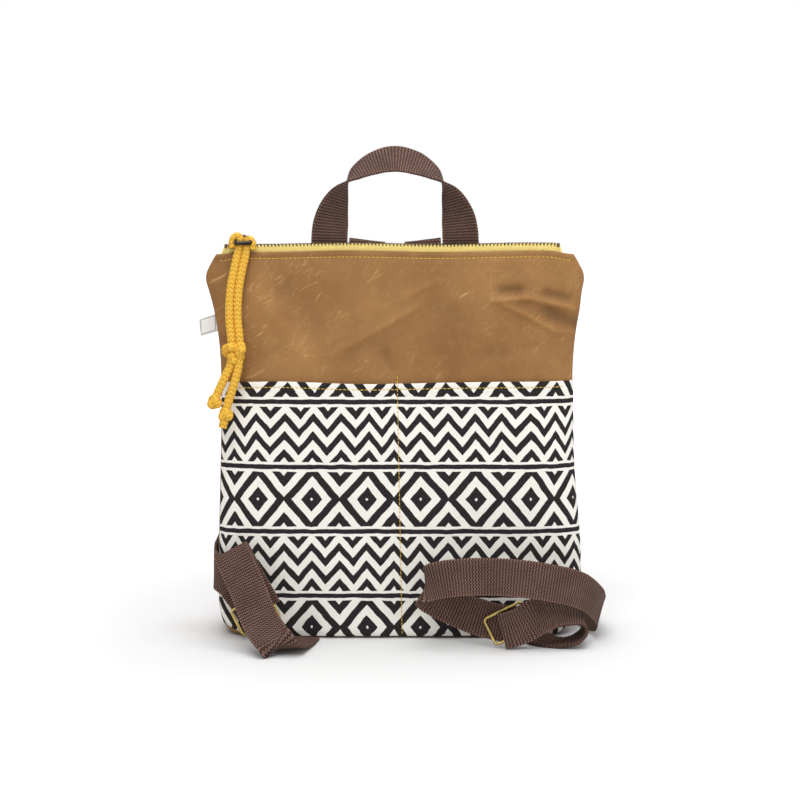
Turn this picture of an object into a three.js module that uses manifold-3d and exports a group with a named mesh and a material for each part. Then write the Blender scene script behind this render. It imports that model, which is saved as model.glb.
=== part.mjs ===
// Mini backpack in waxed canvas: zip top with a cord pull, printed slip pocket,
// webbing grab handle and two webbing shoulder straps with wire adjusters.
// Millimetres, +Z up, the front faces -Y, origin at the centre of the base on the floor.

import * as THREE from 'three';
import { mergeVertices } from 'three/addons/utils/BufferGeometryUtils.js';
import Module from 'manifold-3d';

const wasm = await Module();
wasm.setup();

// Fits
const clearance = 0.3;

// Bag body
const bagHeight = 270;
const canvasThickness = 1.6;
const baseWidth = 250;
const baseDepth = 64;
const footWidth = 226;
const footHeight = 26;
const waistWidth = 244;
const waistHeight = 175;
const shoulderWidth = 264;
const shoulderDrop = 19;
const flarePower = 2.4;
const shoulderPower = 1.15;
const rimWidth = 246;
const taperPower = 2.2;
const cornerPower = 5;
const panelColumns = 22;
const lowerRows = 9;
const upperRows = 7;

// Front pocket
const pocketHeight = 179;
const pocketCloth = 1.2;

// Side tag
const tagLength = 11.5;
const tagWidth = 11.5;
const tagThickness = 1;
const tagHeight = 219;
const tagTilt = THREE.MathUtils.degToRad(17);

// Zip
const zipLeft = -119;
const zipRight = 115;
const tapeThickness = 0.8;
const tapeSeamDepth = 8;
const tapeShow = 3;
const toothPitch = 2.5;
const toothWidth = 1.3;
const toothHeight = 1.8;
const toothSpine = 0.9;
const toothReach = 2;
const stopLength = 2;
const stopFlare = 0.7;

// Slider and its wire bail
const sliderX = -105.5;
const sliderLength = 10;
const sliderWall = 1;
const bridgeHeight = 3;
const bridgeThickness = 1.1;
const bridgeDepth = 2.6;
const bailWire = 1.3;
const bailReach = 9.9;
const bailDrop = 3.4;

// Pull cord
const cordDiameter = 5.2;
const cordSides = 8;
const cordSteps = 16;
const knotWidth = 17;
const knotHeight = 17;
const knotDepth = 12;
const endKnotSize = 10.5;
const tailSteps = 6;
const hitchRadius = 3.4;
const hitchSteps = 8;
const hitchDepth = 7.2;
const hitchHeight = 276.5;

// Webbing
const webWidth = 25.4;
const webThickness = 1.7;
const handleSpread = 92;
const handleHeight = 333;
const handleSewnDepth = 12;
const strapSpread = 39;
const strapSewnDepth = 9;
const strapRise = 7;
const strapFoldDepth = 5;
const strapLean = 0.13;

// Strap adjusters
const adjusterWire = 2;
const adjusterWidth = 31;
const adjusterHeight = 22;
const adjusterTilt = THREE.MathUtils.degToRad(26);
const rightAdjuster = { x: 78, z: 17.5 };
const leftAdjuster = { x: -97, z: 18 };

// Materials
const cloth = (color) => new THREE.MeshStandardMaterial({ color, roughness: 0.9, metalness: 0 });
const metal = (color) => new THREE.MeshStandardMaterial({ color, roughness: 0.4, metalness: 1 });
const canvasColour = '#a17847';
const printColour = '#8a8580';
const webColour = '#5c463f';
const tapeColour = '#f0cf62';
const cordColour = '#e5b63b';
const teethColour = '#6b5a45';
const pullColour = '#35302d';
const brassColour = '#b99a4a';
const tagColour = '#f2f2f0';

const backpack = new THREE.Group();

function addPiece(name, geometry, material) {
  const mesh = new THREE.Mesh(geometry, material);
  mesh.name = name;
  backpack.add(mesh);
  return mesh;
}

// Welds a geometry into one closed body with shared corners
function welded(geometry) {
  geometry.deleteAttribute('normal');
  geometry.deleteAttribute('uv');
  const body = mergeVertices(geometry, 1e-5);
  body.computeVertexNormals();
  return body;
}

// Bends a box: place(u, layer, v) takes u and layer from -1 to 1 and v from 0 to 1
function bentBox(columns, layers, rows, place) {
  const box = new THREE.BoxGeometry(2, 2, 1, columns, layers, rows);
  const corners = box.getAttribute('position');
  for (let i = 0; i < corners.count; i += 1) {
    const spot = place(corners.getX(i), corners.getY(i), corners.getZ(i) + 0.5);
    corners.setXYZ(i, spot.x, spot.y, spot.z);
  }
  return welded(box);
}

function toManifold(geometry) {
  const body = geometry.index ? geometry : welded(geometry);
  return new wasm.Manifold(new wasm.Mesh({
    numProp: 3,
    vertProperties: new Float32Array(body.getAttribute('position').array),
    triVerts: new Uint32Array(body.index.array),
  }));
}

function fromManifold(solid) {
  const mesh = solid.getMesh();
  const geometry = new THREE.BufferGeometry();
  geometry.setAttribute('position', new THREE.BufferAttribute(new Float32Array(mesh.vertProperties), 3));
  geometry.setIndex(new THREE.BufferAttribute(new Uint32Array(mesh.triVerts), 1));
  geometry.computeVertexNormals();
  return geometry;
}

// Bag form: half width and half depth of the outer canvas at a height
const smooth = (t) => t * t * (3 - 2 * t);

const widthStations = [
  [0, footWidth],
  [footHeight, baseWidth],
  [waistHeight, waistWidth],
  [bagHeight - shoulderDrop, shoulderWidth],
  [bagHeight, rimWidth],
];

function halfWidth(z) {
  let k = 0;
  while (k < widthStations.length - 2 && z > widthStations[k + 1][0]) k += 1;
  const [lowHeight, lowWidth] = widthStations[k];
  const [highHeight, highWidth] = widthStations[k + 1];
  const share = THREE.MathUtils.clamp((z - lowHeight) / (highHeight - lowHeight), 0, 1);
  const eases = [Math.sqrt(share * (2 - share)), smooth(share), share ** flarePower, share ** shoulderPower];
  return (lowWidth + (highWidth - lowWidth) * eases[k]) / 2;
}

const rimInside = tapeThickness + 1.5 * clearance;
const rimHalfDepth = rimInside + canvasThickness;

function halfDepth(z) {
  const share = THREE.MathUtils.clamp(z / bagHeight, 0, 1);
  return rimHalfDepth + (baseDepth / 2 - rimHalfDepth) * (1 - share ** taperPower);
}

// Soft folds pushed into the canvas above the pocket: a line from one end to the other
const folds = [
  { from: [112, 262], to: [62, 214], width: 9, depth: -1.6 },
  { from: [58, 258], to: [96, 222], width: 8, depth: 1.4 },
  { from: [-70, 206], to: [-8, 236], width: 12, depth: -1.2 },
  { from: [-96, 244], to: [-60, 196], width: 10, depth: 1 },
];
const foldBottom = pocketHeight + 6;
const foldTop = bagHeight - 8;
const foldFade = 14;

function foldDepth(x, z) {
  const fade = smooth(THREE.MathUtils.clamp((z - foldBottom) / foldFade, 0, 1))
    * smooth(THREE.MathUtils.clamp((foldTop - z) / foldFade, 0, 1));
  let push = 0;
  for (const fold of folds) {
    const start = new THREE.Vector2(...fold.from);
    const run = new THREE.Vector2(...fold.to).sub(start);
    const spot = new THREE.Vector2(x, z).sub(start);
    const along = THREE.MathUtils.clamp(spot.dot(run) / run.lengthSq(), 0, 1);
    const away = spot.sub(run.multiplyScalar(along)).length();
    push += fold.depth * Math.exp(-((away / fold.width) ** 2));
  }
  return push * fade;
}

const power = (value, exponent) => Math.sign(value) * Math.abs(value) ** exponent;

// Point on the bag: side -1 front and 1 back, across from -1 to 1, out = distance off the outer canvas
function bagPoint(side, across, z, out) {
  const angle = (1 - across) * Math.PI / 2;
  const x = (halfWidth(z) + out) * power(Math.cos(angle), 2 / cornerPower);
  const flat = Math.abs(Math.sin(angle)) < 1e-9 ? 0 : Math.sin(angle) ** (2 / cornerPower);
  const push = side < 0 ? foldDepth(x, z) * flat : 0;
  const y = side * ((halfDepth(z) + out) * flat + push + clearance / 2);
  return new THREE.Vector3(x, y, z);
}

// Depth of the outer canvas at a point of the front or back
function canvasDepth(x, z) {
  const share = Math.min(Math.abs(x) / halfWidth(z), 0.999);
  return halfDepth(z) * (1 - share ** cornerPower) ** (1 / cornerPower) + clearance / 2;
}

const panelBottom = canvasThickness + clearance;
const rowCrowding = 1.5;

// Height of a row of the pocket stretch, with close rows at the rounded foot
function pocketLevel(share) {
  return panelBottom + (pocketHeight - panelBottom) * share ** rowCrowding;
}

// Height of a row of a canvas panel: the pocket stretch, then even rows up to the rim
function panelLevel(row) {
  if (row <= lowerRows) return pocketLevel(row / lowerRows);
  return pocketHeight + (bagHeight - pocketHeight) * (row - lowerRows) / upperRows;
}

function canvasPanel(side) {
  const rows = lowerRows + upperRows;
  return bentBox(panelColumns, 1, rows, (u, layer, v) => {
    const out = layer * side > 0 ? 0 : -canvasThickness;
    return bagPoint(side, u, panelLevel(v * rows), out);
  });
}

function basePlate() {
  const outline = new THREE.Shape();
  const steps = 2 * panelColumns;
  for (let i = 0; i < 2 * steps; i += 1) {
    const angle = Math.PI * i / steps;
    const x = halfWidth(0) * power(Math.cos(angle), 2 / cornerPower);
    const y = halfDepth(0) * power(Math.sin(angle), 2 / cornerPower);
    if (i === 0) outline.moveTo(x, y);
    else outline.lineTo(x, y);
  }
  outline.closePath();
  return welded(new THREE.ExtrudeGeometry(outline, { depth: canvasThickness, bevelEnabled: false }));
}

addPiece('front_panel', canvasPanel(-1), cloth(canvasColour));
addPiece('back_panel', canvasPanel(1), cloth(canvasColour));
addPiece('base_panel', basePlate(), cloth(canvasColour));

// Front pocket: lies on the front panel, column by column and row by row
const pocketEdge = 1 - 2 / panelColumns;

addPiece('front_pocket', bentBox(panelColumns - 2, 1, lowerRows, (u, layer, v) => {
  const out = layer < 0 ? clearance + pocketCloth : clearance;
  return bagPoint(-1, u * pocketEdge, pocketLevel(v), out);
}), cloth(printColour));

// Side tag: folded tape held in the left seam, its free end hangs a little
function sideTag() {
  return bentBox(4, 1, 1, (u, layer, v) => {
    const reach = tagLength * (1 - u) / 2;
    const seamZ = tagHeight + (v - 0.5) * tagWidth;
    const x = -(halfWidth(seamZ) + clearance + reach);
    return new THREE.Vector3(x, layer * tagThickness / 2, seamZ - reach * Math.tan(tagTilt));
  });
}

addPiece('side_tag', sideTag(), cloth(tagColour));

// Zip: two tapes face to face between the rims, with a row of teeth on each
const tapeBottom = bagHeight - tapeSeamDepth;
const tapeTop = bagHeight + tapeShow;
const teethBottom = tapeTop + clearance;
const teethTop = teethBottom + toothSpine + toothHeight;
const zipLength = zipRight - zipLeft;

function zipTape(side) {
  const tape = new THREE.BoxGeometry(zipLength, tapeThickness, tapeTop - tapeBottom);
  const y = side * (clearance + tapeThickness) / 2;
  tape.translate((zipLeft + zipRight) / 2, y, (tapeBottom + tapeTop) / 2);
  return welded(tape);
}

function teethRow(side) {
  const firstTooth = zipLeft + stopLength + clearance;
  const lastTooth = zipRight - stopLength - clearance;
  const lead = side < 0 ? 0 : toothPitch / 2;
  const profile = new THREE.Shape();
  profile.moveTo(firstTooth, teethBottom);
  profile.lineTo(lastTooth, teethBottom);
  profile.lineTo(lastTooth, teethBottom + toothSpine);
  const count = Math.floor((lastTooth - firstTooth - lead - toothWidth - clearance) / toothPitch);
  for (let i = count; i >= 0; i -= 1) {
    const left = firstTooth + clearance + lead + i * toothPitch;
    profile.lineTo(left + toothWidth, teethBottom + toothSpine);
    profile.lineTo(left + toothWidth, teethTop);
    profile.lineTo(left, teethTop);
    profile.lineTo(left, teethBottom + toothSpine);
  }
  profile.lineTo(firstTooth, teethBottom + toothSpine);
  profile.closePath();
  const row = new THREE.ExtrudeGeometry(profile, { depth: toothReach - clearance / 2, bevelEnabled: false });
  row.rotateX(Math.PI / 2);
  row.translate(0, side < 0 ? -clearance / 2 : toothReach, 0);
  return welded(row);
}

function zipStop(x) {
  const stop = new THREE.BoxGeometry(stopLength, 2 * (toothReach + stopFlare), teethTop - teethBottom);
  stop.translate(x, 0, (teethBottom + teethTop) / 2);
  return welded(stop);
}

addPiece('zip_tape_front', zipTape(-1), cloth(tapeColour));
addPiece('zip_tape_back', zipTape(1), cloth(tapeColour));
addPiece('zip_teeth_front', teethRow(-1), metal(teethColour));
addPiece('zip_teeth_back', teethRow(1), metal(teethColour));
addPiece('zip_stop_left', zipStop(zipLeft + stopLength / 2), metal(teethColour));
addPiece('zip_stop_right', zipStop(zipRight - stopLength / 2), metal(teethColour));

// Slider: a channel that wraps the teeth, with a bridge across its top for the bail
const channelInside = toothReach + clearance;
const channelOutside = channelInside + sliderWall;
const slotInside = clearance / 2 + tapeThickness + clearance;
const channelFloor = teethBottom - clearance;
const channelRoof = teethTop + clearance;
const sliderTop = channelRoof + sliderWall;

function sliderBody() {
  const section = new THREE.Shape();
  section.moveTo(slotInside, channelFloor - sliderWall);
  section.lineTo(channelOutside, channelFloor - sliderWall);
  section.lineTo(channelOutside, sliderTop);
  section.lineTo(-channelOutside, sliderTop);
  section.lineTo(-channelOutside, channelFloor - sliderWall);
  section.lineTo(-slotInside, channelFloor - sliderWall);
  section.lineTo(-slotInside, channelFloor);
  section.lineTo(-channelInside, channelFloor);
  section.lineTo(-channelInside, channelRoof);
  section.lineTo(channelInside, channelRoof);
  section.lineTo(channelInside, channelFloor);
  section.lineTo(slotInside, channelFloor);
  section.closePath();
  const channel = new THREE.ExtrudeGeometry(section, { depth: sliderLength, bevelEnabled: false });
  channel.translate(0, 0, -sliderLength / 2);
  channel.rotateX(Math.PI / 2);
  channel.rotateZ(Math.PI / 2);
  const arch = new THREE.Shape();
  const half = bailWire / 2 + clearance;
  const sink = sliderWall / 2;
  arch.moveTo(-half - bridgeThickness, -sink);
  arch.lineTo(-half, -sink);
  arch.lineTo(-half, bridgeHeight - bridgeThickness);
  arch.lineTo(half, bridgeHeight - bridgeThickness);
  arch.lineTo(half, -sink);
  arch.lineTo(half + bridgeThickness, -sink);
  arch.lineTo(half + bridgeThickness, bridgeHeight);
  arch.lineTo(-half - bridgeThickness, bridgeHeight);
  arch.closePath();
  const bridge = new THREE.ExtrudeGeometry(arch, { depth: bridgeDepth, bevelEnabled: false });
  bridge.translate(0, 0, -bridgeDepth / 2);
  bridge.rotateX(Math.PI / 2);
  bridge.rotateZ(Math.PI / 2);
  bridge.translate(0, 0, sliderTop);
  const body = fromManifold(toManifold(welded(channel)).add(toManifold(welded(bridge))));
  body.translate(sliderX, 0, 0);
  return body;
}

addPiece('zip_slider', sliderBody(), metal(teethColour));

// Bail: a closed wire loop that turns under the bridge and reaches out in front of the cord
const bailPivot = sliderTop + clearance + bailWire / 2;
const bailInside = cordDiameter + 1.5 * clearance;
const bailHalf = bailInside + bailWire / 2;

function wireLoop(width, height, wire) {
  const half = width / 2;
  const frame = new THREE.Shape();
  frame.moveTo(-half - wire / 2, -wire / 2);
  frame.lineTo(half + wire / 2, -wire / 2);
  frame.lineTo(half + wire / 2, height + wire / 2);
  frame.lineTo(-half - wire / 2, height + wire / 2);
  frame.closePath();
  const hole = new THREE.Path();
  hole.moveTo(-half + wire / 2, wire / 2);
  hole.lineTo(-half + wire / 2, height - wire / 2);
  hole.lineTo(half - wire / 2, height - wire / 2);
  hole.lineTo(half - wire / 2, wire / 2);
  hole.closePath();
  frame.holes.push(hole);
  const loop = new THREE.ExtrudeGeometry(frame, { depth: wire, bevelEnabled: false });
  loop.translate(0, 0, -wire / 2);
  return loop;
}

function zipBail() {
  const loop = wireLoop(2 * bailHalf, Math.hypot(bailReach, bailDrop), bailWire);
  loop.rotateZ(Math.PI);
  loop.rotateX(Math.atan2(bailDrop, bailReach));
  loop.translate(sliderX, 0, bailPivot);
  return welded(loop);
}

addPiece('zip_pull', zipBail(), metal(pullColour));

// Pull cord: two strands through the bail, one knot for both, a knot at each end
function tube(points, diameter, sides, steps) {
  const ring = new THREE.Shape();
  for (let i = 0; i < sides; i += 1) {
    const angle = 2 * Math.PI * i / sides;
    const corner = [diameter / 2 * Math.cos(angle), diameter / 2 * Math.sin(angle)];
    if (i === 0) ring.moveTo(...corner);
    else ring.lineTo(...corner);
  }
  ring.closePath();
  const route = new THREE.CatmullRomCurve3(points);
  return welded(new THREE.ExtrudeGeometry(ring, { steps, extrudePath: route, bevelEnabled: false }));
}

function roundKnot(width, depth, height, centre) {
  const knot = new THREE.SphereGeometry(0.5, 12, 8);
  knot.scale(width, depth, height);
  knot.translate(...centre);
  return welded(knot);
}

const spot = (x, y, z) => new THREE.Vector3(x, y, z);

const strandLeft = [
  spot(-108.3, -5.9, 281), spot(-108.5, -6.1, 276), spot(-109.2, -7.3, 268), spot(-111.2, -10.4, 258),
  spot(-113.4, -14.2, 246), spot(-114.4, -17.6, 234), spot(-114.3, -20.6, 222), spot(-112.9, -24, 209.6),
];
const strandRight = [
  spot(-102.7, -5.9, 281), spot(-102.9, -6.1, 276), spot(-103.7, -7.3, 268), spot(-105.8, -10.4, 258),
  spot(-107.9, -14.2, 246), spot(-108.9, -17.6, 234), spot(-108.8, -20.6, 222), spot(-107.4, -24, 209.6),
];
const knotCentre = [-110.6, -25.4, 200.5];
const tailLeft = [
  spot(-113.6, -27, 191.2), spot(-117, -29.2, 184), spot(-120.2, -30.4, 177), spot(-122.5, -31.2, 172),
];
const tailRight = [
  spot(-108, -27, 191.2), spot(-110, -29.4, 182), spot(-112.4, -30.8, 174), spot(-115.5, -33.3, 163.8),
];
const endKnotLeft = [-124.4, -32, 166.4];
const endKnotRight = [-116.6, -34.6, 158];

addPiece('pull_cord_left', tube(strandLeft, cordDiameter, cordSides, cordSteps), cloth(cordColour));
addPiece('pull_cord_right', tube(strandRight, cordDiameter, cordSides, cordSteps), cloth(cordColour));
addPiece('pull_knot', roundKnot(knotWidth, knotDepth, knotHeight, knotCentre), cloth(cordColour));
addPiece('cord_tail_left', tube(tailLeft, cordDiameter, cordSides, tailSteps), cloth(cordColour));
addPiece('cord_tail_right', tube(tailRight, cordDiameter, cordSides, tailSteps), cloth(cordColour));
addPiece('cord_end_knot_left', roundKnot(endKnotSize, endKnotSize, endKnotSize, endKnotLeft),
  cloth(cordColour));
addPiece('cord_end_knot_right', roundKnot(endKnotSize * 1.15, endKnotSize, endKnotSize, endKnotRight),
  cloth(cordColour));

// Cord hitch: the bight of the cord shows as a loop on each side of the bail
const hitchStart = THREE.MathUtils.degToRad(-70);
const hitchEnd = THREE.MathUtils.degToRad(160);

function hitchLoop(side) {
  const x = sliderX + side * (bailHalf + bailWire / 2 + clearance + cordDiameter / 2);
  const points = [];
  for (let i = 0; i <= hitchSteps; i += 1) {
    const angle = hitchStart + (hitchEnd - hitchStart) * i / hitchSteps;
    const y = -hitchDepth - hitchRadius * Math.cos(angle);
    points.push(spot(x, y, hitchHeight + hitchRadius * Math.sin(angle)));
  }
  return tube(points, cordDiameter, cordSides, hitchSteps);
}

addPiece('cord_hitch_left', hitchLoop(-1), cloth(cordColour));
addPiece('cord_hitch_right', hitchLoop(1), cloth(cordColour));

// Webbing: a flat ribbon along a route; each station gives the middle and the width direction
function ribbon(stations, steps) {
  const middles = new THREE.CatmullRomCurve3(stations.map((station) => station.middle));
  const widths = new THREE.CatmullRomCurve3(stations.map((station) => station.across));
  return bentBox(1, 1, steps, (u, layer, v) => {
    const middle = middles.getPoint(v);
    const across = widths.getPoint(v).normalize();
    const along = middles.getTangent(v);
    const face = new THREE.Vector3().crossVectors(along, across).normalize();
    const level = new THREE.Vector3().crossVectors(face, along).normalize();
    return middle.addScaledVector(level, u * webWidth / 2).addScaledVector(face, layer * webThickness / 2);
  });
}

const station = (middle, across) => ({ middle, across: new THREE.Vector3(...across) });

// Middle plane of webbing that lies on the back, with a number of layers under it
function backDepth(x, z, layersUnder) {
  return canvasDepth(x, z) + clearance + webThickness / 2 + layersUnder * (webThickness + clearance);
}

// Grab handle: each leg is sewn to the back rim and twists so that the arch faces up
function grabHandle() {
  const stations = [];
  const leg = handleSpread / 2;
  const sewnY = backDepth(leg, bagHeight - handleSewnDepth, 0);
  const rimY = backDepth(leg, bagHeight, 0) + 1;
  const rise = handleHeight - bagHeight;
  const halfRoute = [
    [1, -handleSewnDepth / rise, -90, sewnY],
    [1, 0.08, -88, rimY],
    [0.985, 0.25, -76, rimY],
    [0.935, 0.44, -52, rimY],
    [0.84, 0.62, -27, rimY],
    [0.745, 0.73, -3, rimY],
    [0.6, 0.84, 20, rimY],
    [0.315, 0.952, 37, rimY],
    [0, 1, 43, rimY],
  ];
  const half = halfRoute.map(([out, up, twist, y]) => ({ x: out * leg, z: bagHeight + up * rise, twist, y }));
  const full = [...half.map((p) => ({ ...p, x: -p.x, side: -1 }))];
  full.push(...half.slice(0, -1).reverse().map((p) => ({ ...p, side: 1 })));
  for (let i = 0; i < full.length; i += 1) {
    const before = full[Math.max(i - 1, 0)];
    const after = full[Math.min(i + 1, full.length - 1)];
    const along = spot(after.x - before.x, 0, after.z - before.z).normalize();
    const outward = spot(-along.z, 0, along.x);
    const turn = THREE.MathUtils.degToRad(full[i].twist);
    const across = spot(0, Math.cos(turn), 0).addScaledVector(outward, Math.sin(turn));
    stations.push({ middle: spot(full[i].x, full[i].y, full[i].z), across });
  }
  return ribbon(stations, 44);
}

addPiece('grab_handle', grabHandle(), cloth(webColour));

// Shoulder strap, first stretch: sewn to the back rim, folded over and laid down the back
function strapTop(side) {
  const x = side * strapSpread / 2;
  const low = bagHeight - strapSewnDepth;
  const inner = backDepth(x, low, 0);
  const across = [side, 0, strapLean];
  const rimY = backDepth(x, bagHeight, 0);
  return [
    station(spot(x, inner, low), across),
    station(spot(x, rimY + 0.6, bagHeight + strapRise - strapFoldDepth / 2), across),
    station(spot(x, rimY + strapFoldDepth / 2 + 0.6, bagHeight + strapRise), across),
    station(spot(x, rimY + strapFoldDepth + 1, bagHeight + strapRise - strapFoldDepth / 2), across),
    station(spot(x * 1.12, backDepth(x, 258, 2.6), 258), across),
    station(spot(x * 1.6, backDepth(x * 1.6, 235, 2), 235), [side * 0.97, 0, 0.25]),
    station(spot(x * 2.6, backDepth(x * 2.6, 190, 1), 190), [side * 0.93, 0, 0.37]),
    station(spot(x * 3.7, backDepth(x * 3.7, 140, 1), 140), [side * 0.9, 0, 0.43]),
  ];
}

// Depth of the middle plane of webbing that lies on the pocket, with an added gap under it
function frontDepth(x, z, gap) {
  return canvasDepth(x, z) + clearance + pocketCloth + clearance + webThickness / 2 + gap;
}

// Right strap: round the right side, along the front, back under itself to the adjuster
const rightStations = [
  ...strapTop(1),
  station(spot(92, backDepth(92, 92, 1) + 1, 92), [0.8, 0, 0.6]),
  station(spot(102, 44, 52), [0.72, 0.1, 0.69]),
  station(spot(114, 45, 24.8), [0.5, 0.1, 0.85]),
  station(spot(129, 34, 12.8), [0.5, 0.1, 0.86]),
  station(spot(137.5, 13, 11.4), [0.58, 0.05, 0.8]),
  station(spot(141.5, -8, 12), [0.5, 0.05, 0.86]),
  station(spot(143.6, -25, 16.2), [0.3, 0.1, 0.94]),
  station(spot(141, -40, 25.4), [0.1, 0.15, 0.98]),
  station(spot(127, -57.5, 39.6), [-0.02, 0.2, 1]),
  station(spot(98, -69, 49), [-0.02, 0.2, 1]),
  station(spot(68, -72, 52.5), [0.02, 0.18, 1]),
  station(spot(42, -70, 51.5), [0.06, 0.15, 1]),
  station(spot(26, -64.5, 47.5), [0.14, 0.1, 1]),
  station(spot(21, -58.5, 42), [0.24, 0, 1]),
  station(spot(26, -53, 35), [0.32, -0.05, 1]),
  station(spot(42, -53, 26.5), [0.3, -0.05, 1]),
  station(spot(58, -55, 20.5), [0.25, 0, 1]),
  station(spot(74, -57, 17), [0.2, 0, 1]),
  station(spot(88, -57, 15.5), [0.15, 0, 1]),
];
// Lower right web: out of the bottom seam, along the floor, folded over at the right and up to the adjuster
const lowerRightStations = [
  station(spot(98, -frontDepth(98, 0, 0.8), 1.7), [0.98, 0.21, 0]),
  station(spot(101, -41, 1.7), [0.9, 0.42, 0]),
  station(spot(107.5, -47, 1.7), [0.62, 0.78, 0]),
  station(spot(117, -50.5, 2.2), [0.25, 0.97, 0]),
  station(spot(126, -51.5, 5.2), [0, 1, 0]),
  station(spot(131.2, -51.5, 12), [0, 1, 0]),
  station(spot(128.4, -51.5, 19.2), [0, 0.98, 0.2]),
  station(spot(119, -52.5, 23), [0, 0.9, 0.42]),
  station(spot(106.5, -56.4, 24.6), [0, 0.75, 0.66]),
  station(spot(96.5, -62.6, 22.6), [-0.12, 0.3, 0.94]),
  station(spot(88, -64.4, 18), [-0.3, 0, 0.95]),
  station(spot(79.5, -63.9, 14.4), [-0.41, 0, 0.91]),
  station(spot(73, -63.2, 12.7), [-0.43, 0, 0.9]),
];

addPiece('strap_right', ribbon(rightStations, 84), cloth(webColour));
addPiece('lower_strap_right', ribbon(lowerRightStations, 40), cloth(webColour));

// Left strap: round the left side close to the bag and in behind its own loop
const leftStations = [
  ...strapTop(-1),
  station(spot(-94, backDepth(94, 92, 1) + 1, 92), [-0.75, 0, 0.66]),
  station(spot(-113, 37.5, 63), [-0.45, 0.05, 0.9]),
  station(spot(-126.6, 18, 50), [0, 0, 1]),
  station(spot(-127.4, -6, 48.5), [0, 0, 1]),
  station(spot(-124.4, -25, 46.5), [0.08, 0, 1]),
  station(spot(-113.5, -frontDepth(113, 42, 3.4), 41), [0.42, 0, 0.91]),
  station(spot(-105, -frontDepth(105, 30, 2), 30.5), [0.68, 0, 0.73]),
  station(spot(-98, -frontDepth(98, 18, 1), 19), [0.88, 0, 0.47]),
];

// Loop of the left strap: up the front, over a hump, down to the floor and back to the bottom seam
const acrossLoop = [0.88, 0, 0.47];
const leftFrameY = -frontDepth(88, 30, 0.6) - webThickness / 2 - clearance - adjusterWire / 2;
const loopY = leftFrameY - adjusterWire / 2 - clearance - webThickness / 2;
const lowerLeftStations = [
  station(spot(-91, loopY, 22), acrossLoop),
  station(spot(-97.5, loopY, 34), acrossLoop),
  station(spot(-105, loopY, 48), acrossLoop),
  station(spot(-110.8, loopY - 0.8, 59.5), acrossLoop),
  station(spot(-113.2, -42.5, 64.6), acrossLoop),
  station(spot(-111.8, -47, 62.6), acrossLoop),
  station(spot(-101.8, -58, 44), acrossLoop),
  station(spot(-91, -71, 21.5), [0.9, 0.1, 0.43]),
  station(spot(-83.5, -80.5, 13.5), [0.95, 0.25, 0.3]),
  station(spot(-79.5, -83.5, 9.4), [0.97, 0.3, 0.12]),
  station(spot(-75.5, -79.5, 5.8), [0.97, 0.25, 0]),
  station(spot(-71, -64, 2.2), [0.97, 0.25, 0]),
  station(spot(-67.5, -49, 1.5), [0.97, 0.25, 0]),
  station(spot(-65, -frontDepth(65, 0, 1.5), 1.6), [0.97, 0.2, 0]),
];

addPiece('strap_left', ribbon(leftStations, 64), cloth(webColour));
addPiece('lower_strap_left', ribbon(lowerLeftStations, 44), cloth(webColour));

// Adjusters: wire frames that lie against the webbing
function adjuster(place, y) {
  const frame = wireLoop(adjusterWidth - adjusterWire, adjusterHeight - adjusterWire, adjusterWire);
  frame.translate(0, -(adjusterHeight - adjusterWire) / 2, 0);
  frame.rotateX(Math.PI / 2);
  frame.rotateY(-adjusterTilt);
  frame.translate(place.x, y, place.z);
  return welded(frame);
}

const rightFrameY = -57 - webThickness / 2 - clearance - adjusterWire / 2;
addPiece('adjuster_right', adjuster(rightAdjuster, rightFrameY), metal(brassColour));
addPiece('adjuster_left', adjuster(leftAdjuster, leftFrameY), metal(brassColour));

export default backpack;
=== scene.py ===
"""Mini backpack in waxed canvas with a printed pocket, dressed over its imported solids."""

import functools
import itertools
import math

import bmesh
import bpy
from mathutils import Matrix, Vector, noise


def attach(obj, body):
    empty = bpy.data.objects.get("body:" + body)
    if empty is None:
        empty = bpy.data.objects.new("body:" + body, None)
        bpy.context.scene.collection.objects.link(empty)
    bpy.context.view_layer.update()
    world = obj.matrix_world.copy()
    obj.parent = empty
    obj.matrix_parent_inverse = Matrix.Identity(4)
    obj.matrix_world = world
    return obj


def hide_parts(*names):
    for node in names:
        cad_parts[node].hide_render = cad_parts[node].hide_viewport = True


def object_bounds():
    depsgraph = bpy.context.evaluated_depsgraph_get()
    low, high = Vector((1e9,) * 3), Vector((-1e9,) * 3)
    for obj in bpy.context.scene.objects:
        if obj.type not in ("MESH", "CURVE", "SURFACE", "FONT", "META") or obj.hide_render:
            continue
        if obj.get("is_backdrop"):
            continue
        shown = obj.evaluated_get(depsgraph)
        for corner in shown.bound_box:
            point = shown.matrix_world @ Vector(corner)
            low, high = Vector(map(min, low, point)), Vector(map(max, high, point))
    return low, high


bl_info = {
    "name": "Mini Backpack",
    "version": (1, 0, 0),
    "blender": (4, 5, 0),
    "location": "View3D > Sidebar > Backpack",
    "description": "Cloth, webbing, cord, zip and stage of a small canvas backpack",
    "category": "Object",
}

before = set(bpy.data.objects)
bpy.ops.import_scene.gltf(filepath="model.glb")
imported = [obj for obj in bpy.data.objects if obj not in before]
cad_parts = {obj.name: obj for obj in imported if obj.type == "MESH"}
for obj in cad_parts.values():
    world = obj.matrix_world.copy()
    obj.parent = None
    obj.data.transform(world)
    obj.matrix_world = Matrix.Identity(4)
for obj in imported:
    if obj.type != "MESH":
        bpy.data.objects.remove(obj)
CAD_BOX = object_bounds()
MM = 0.001

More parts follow.
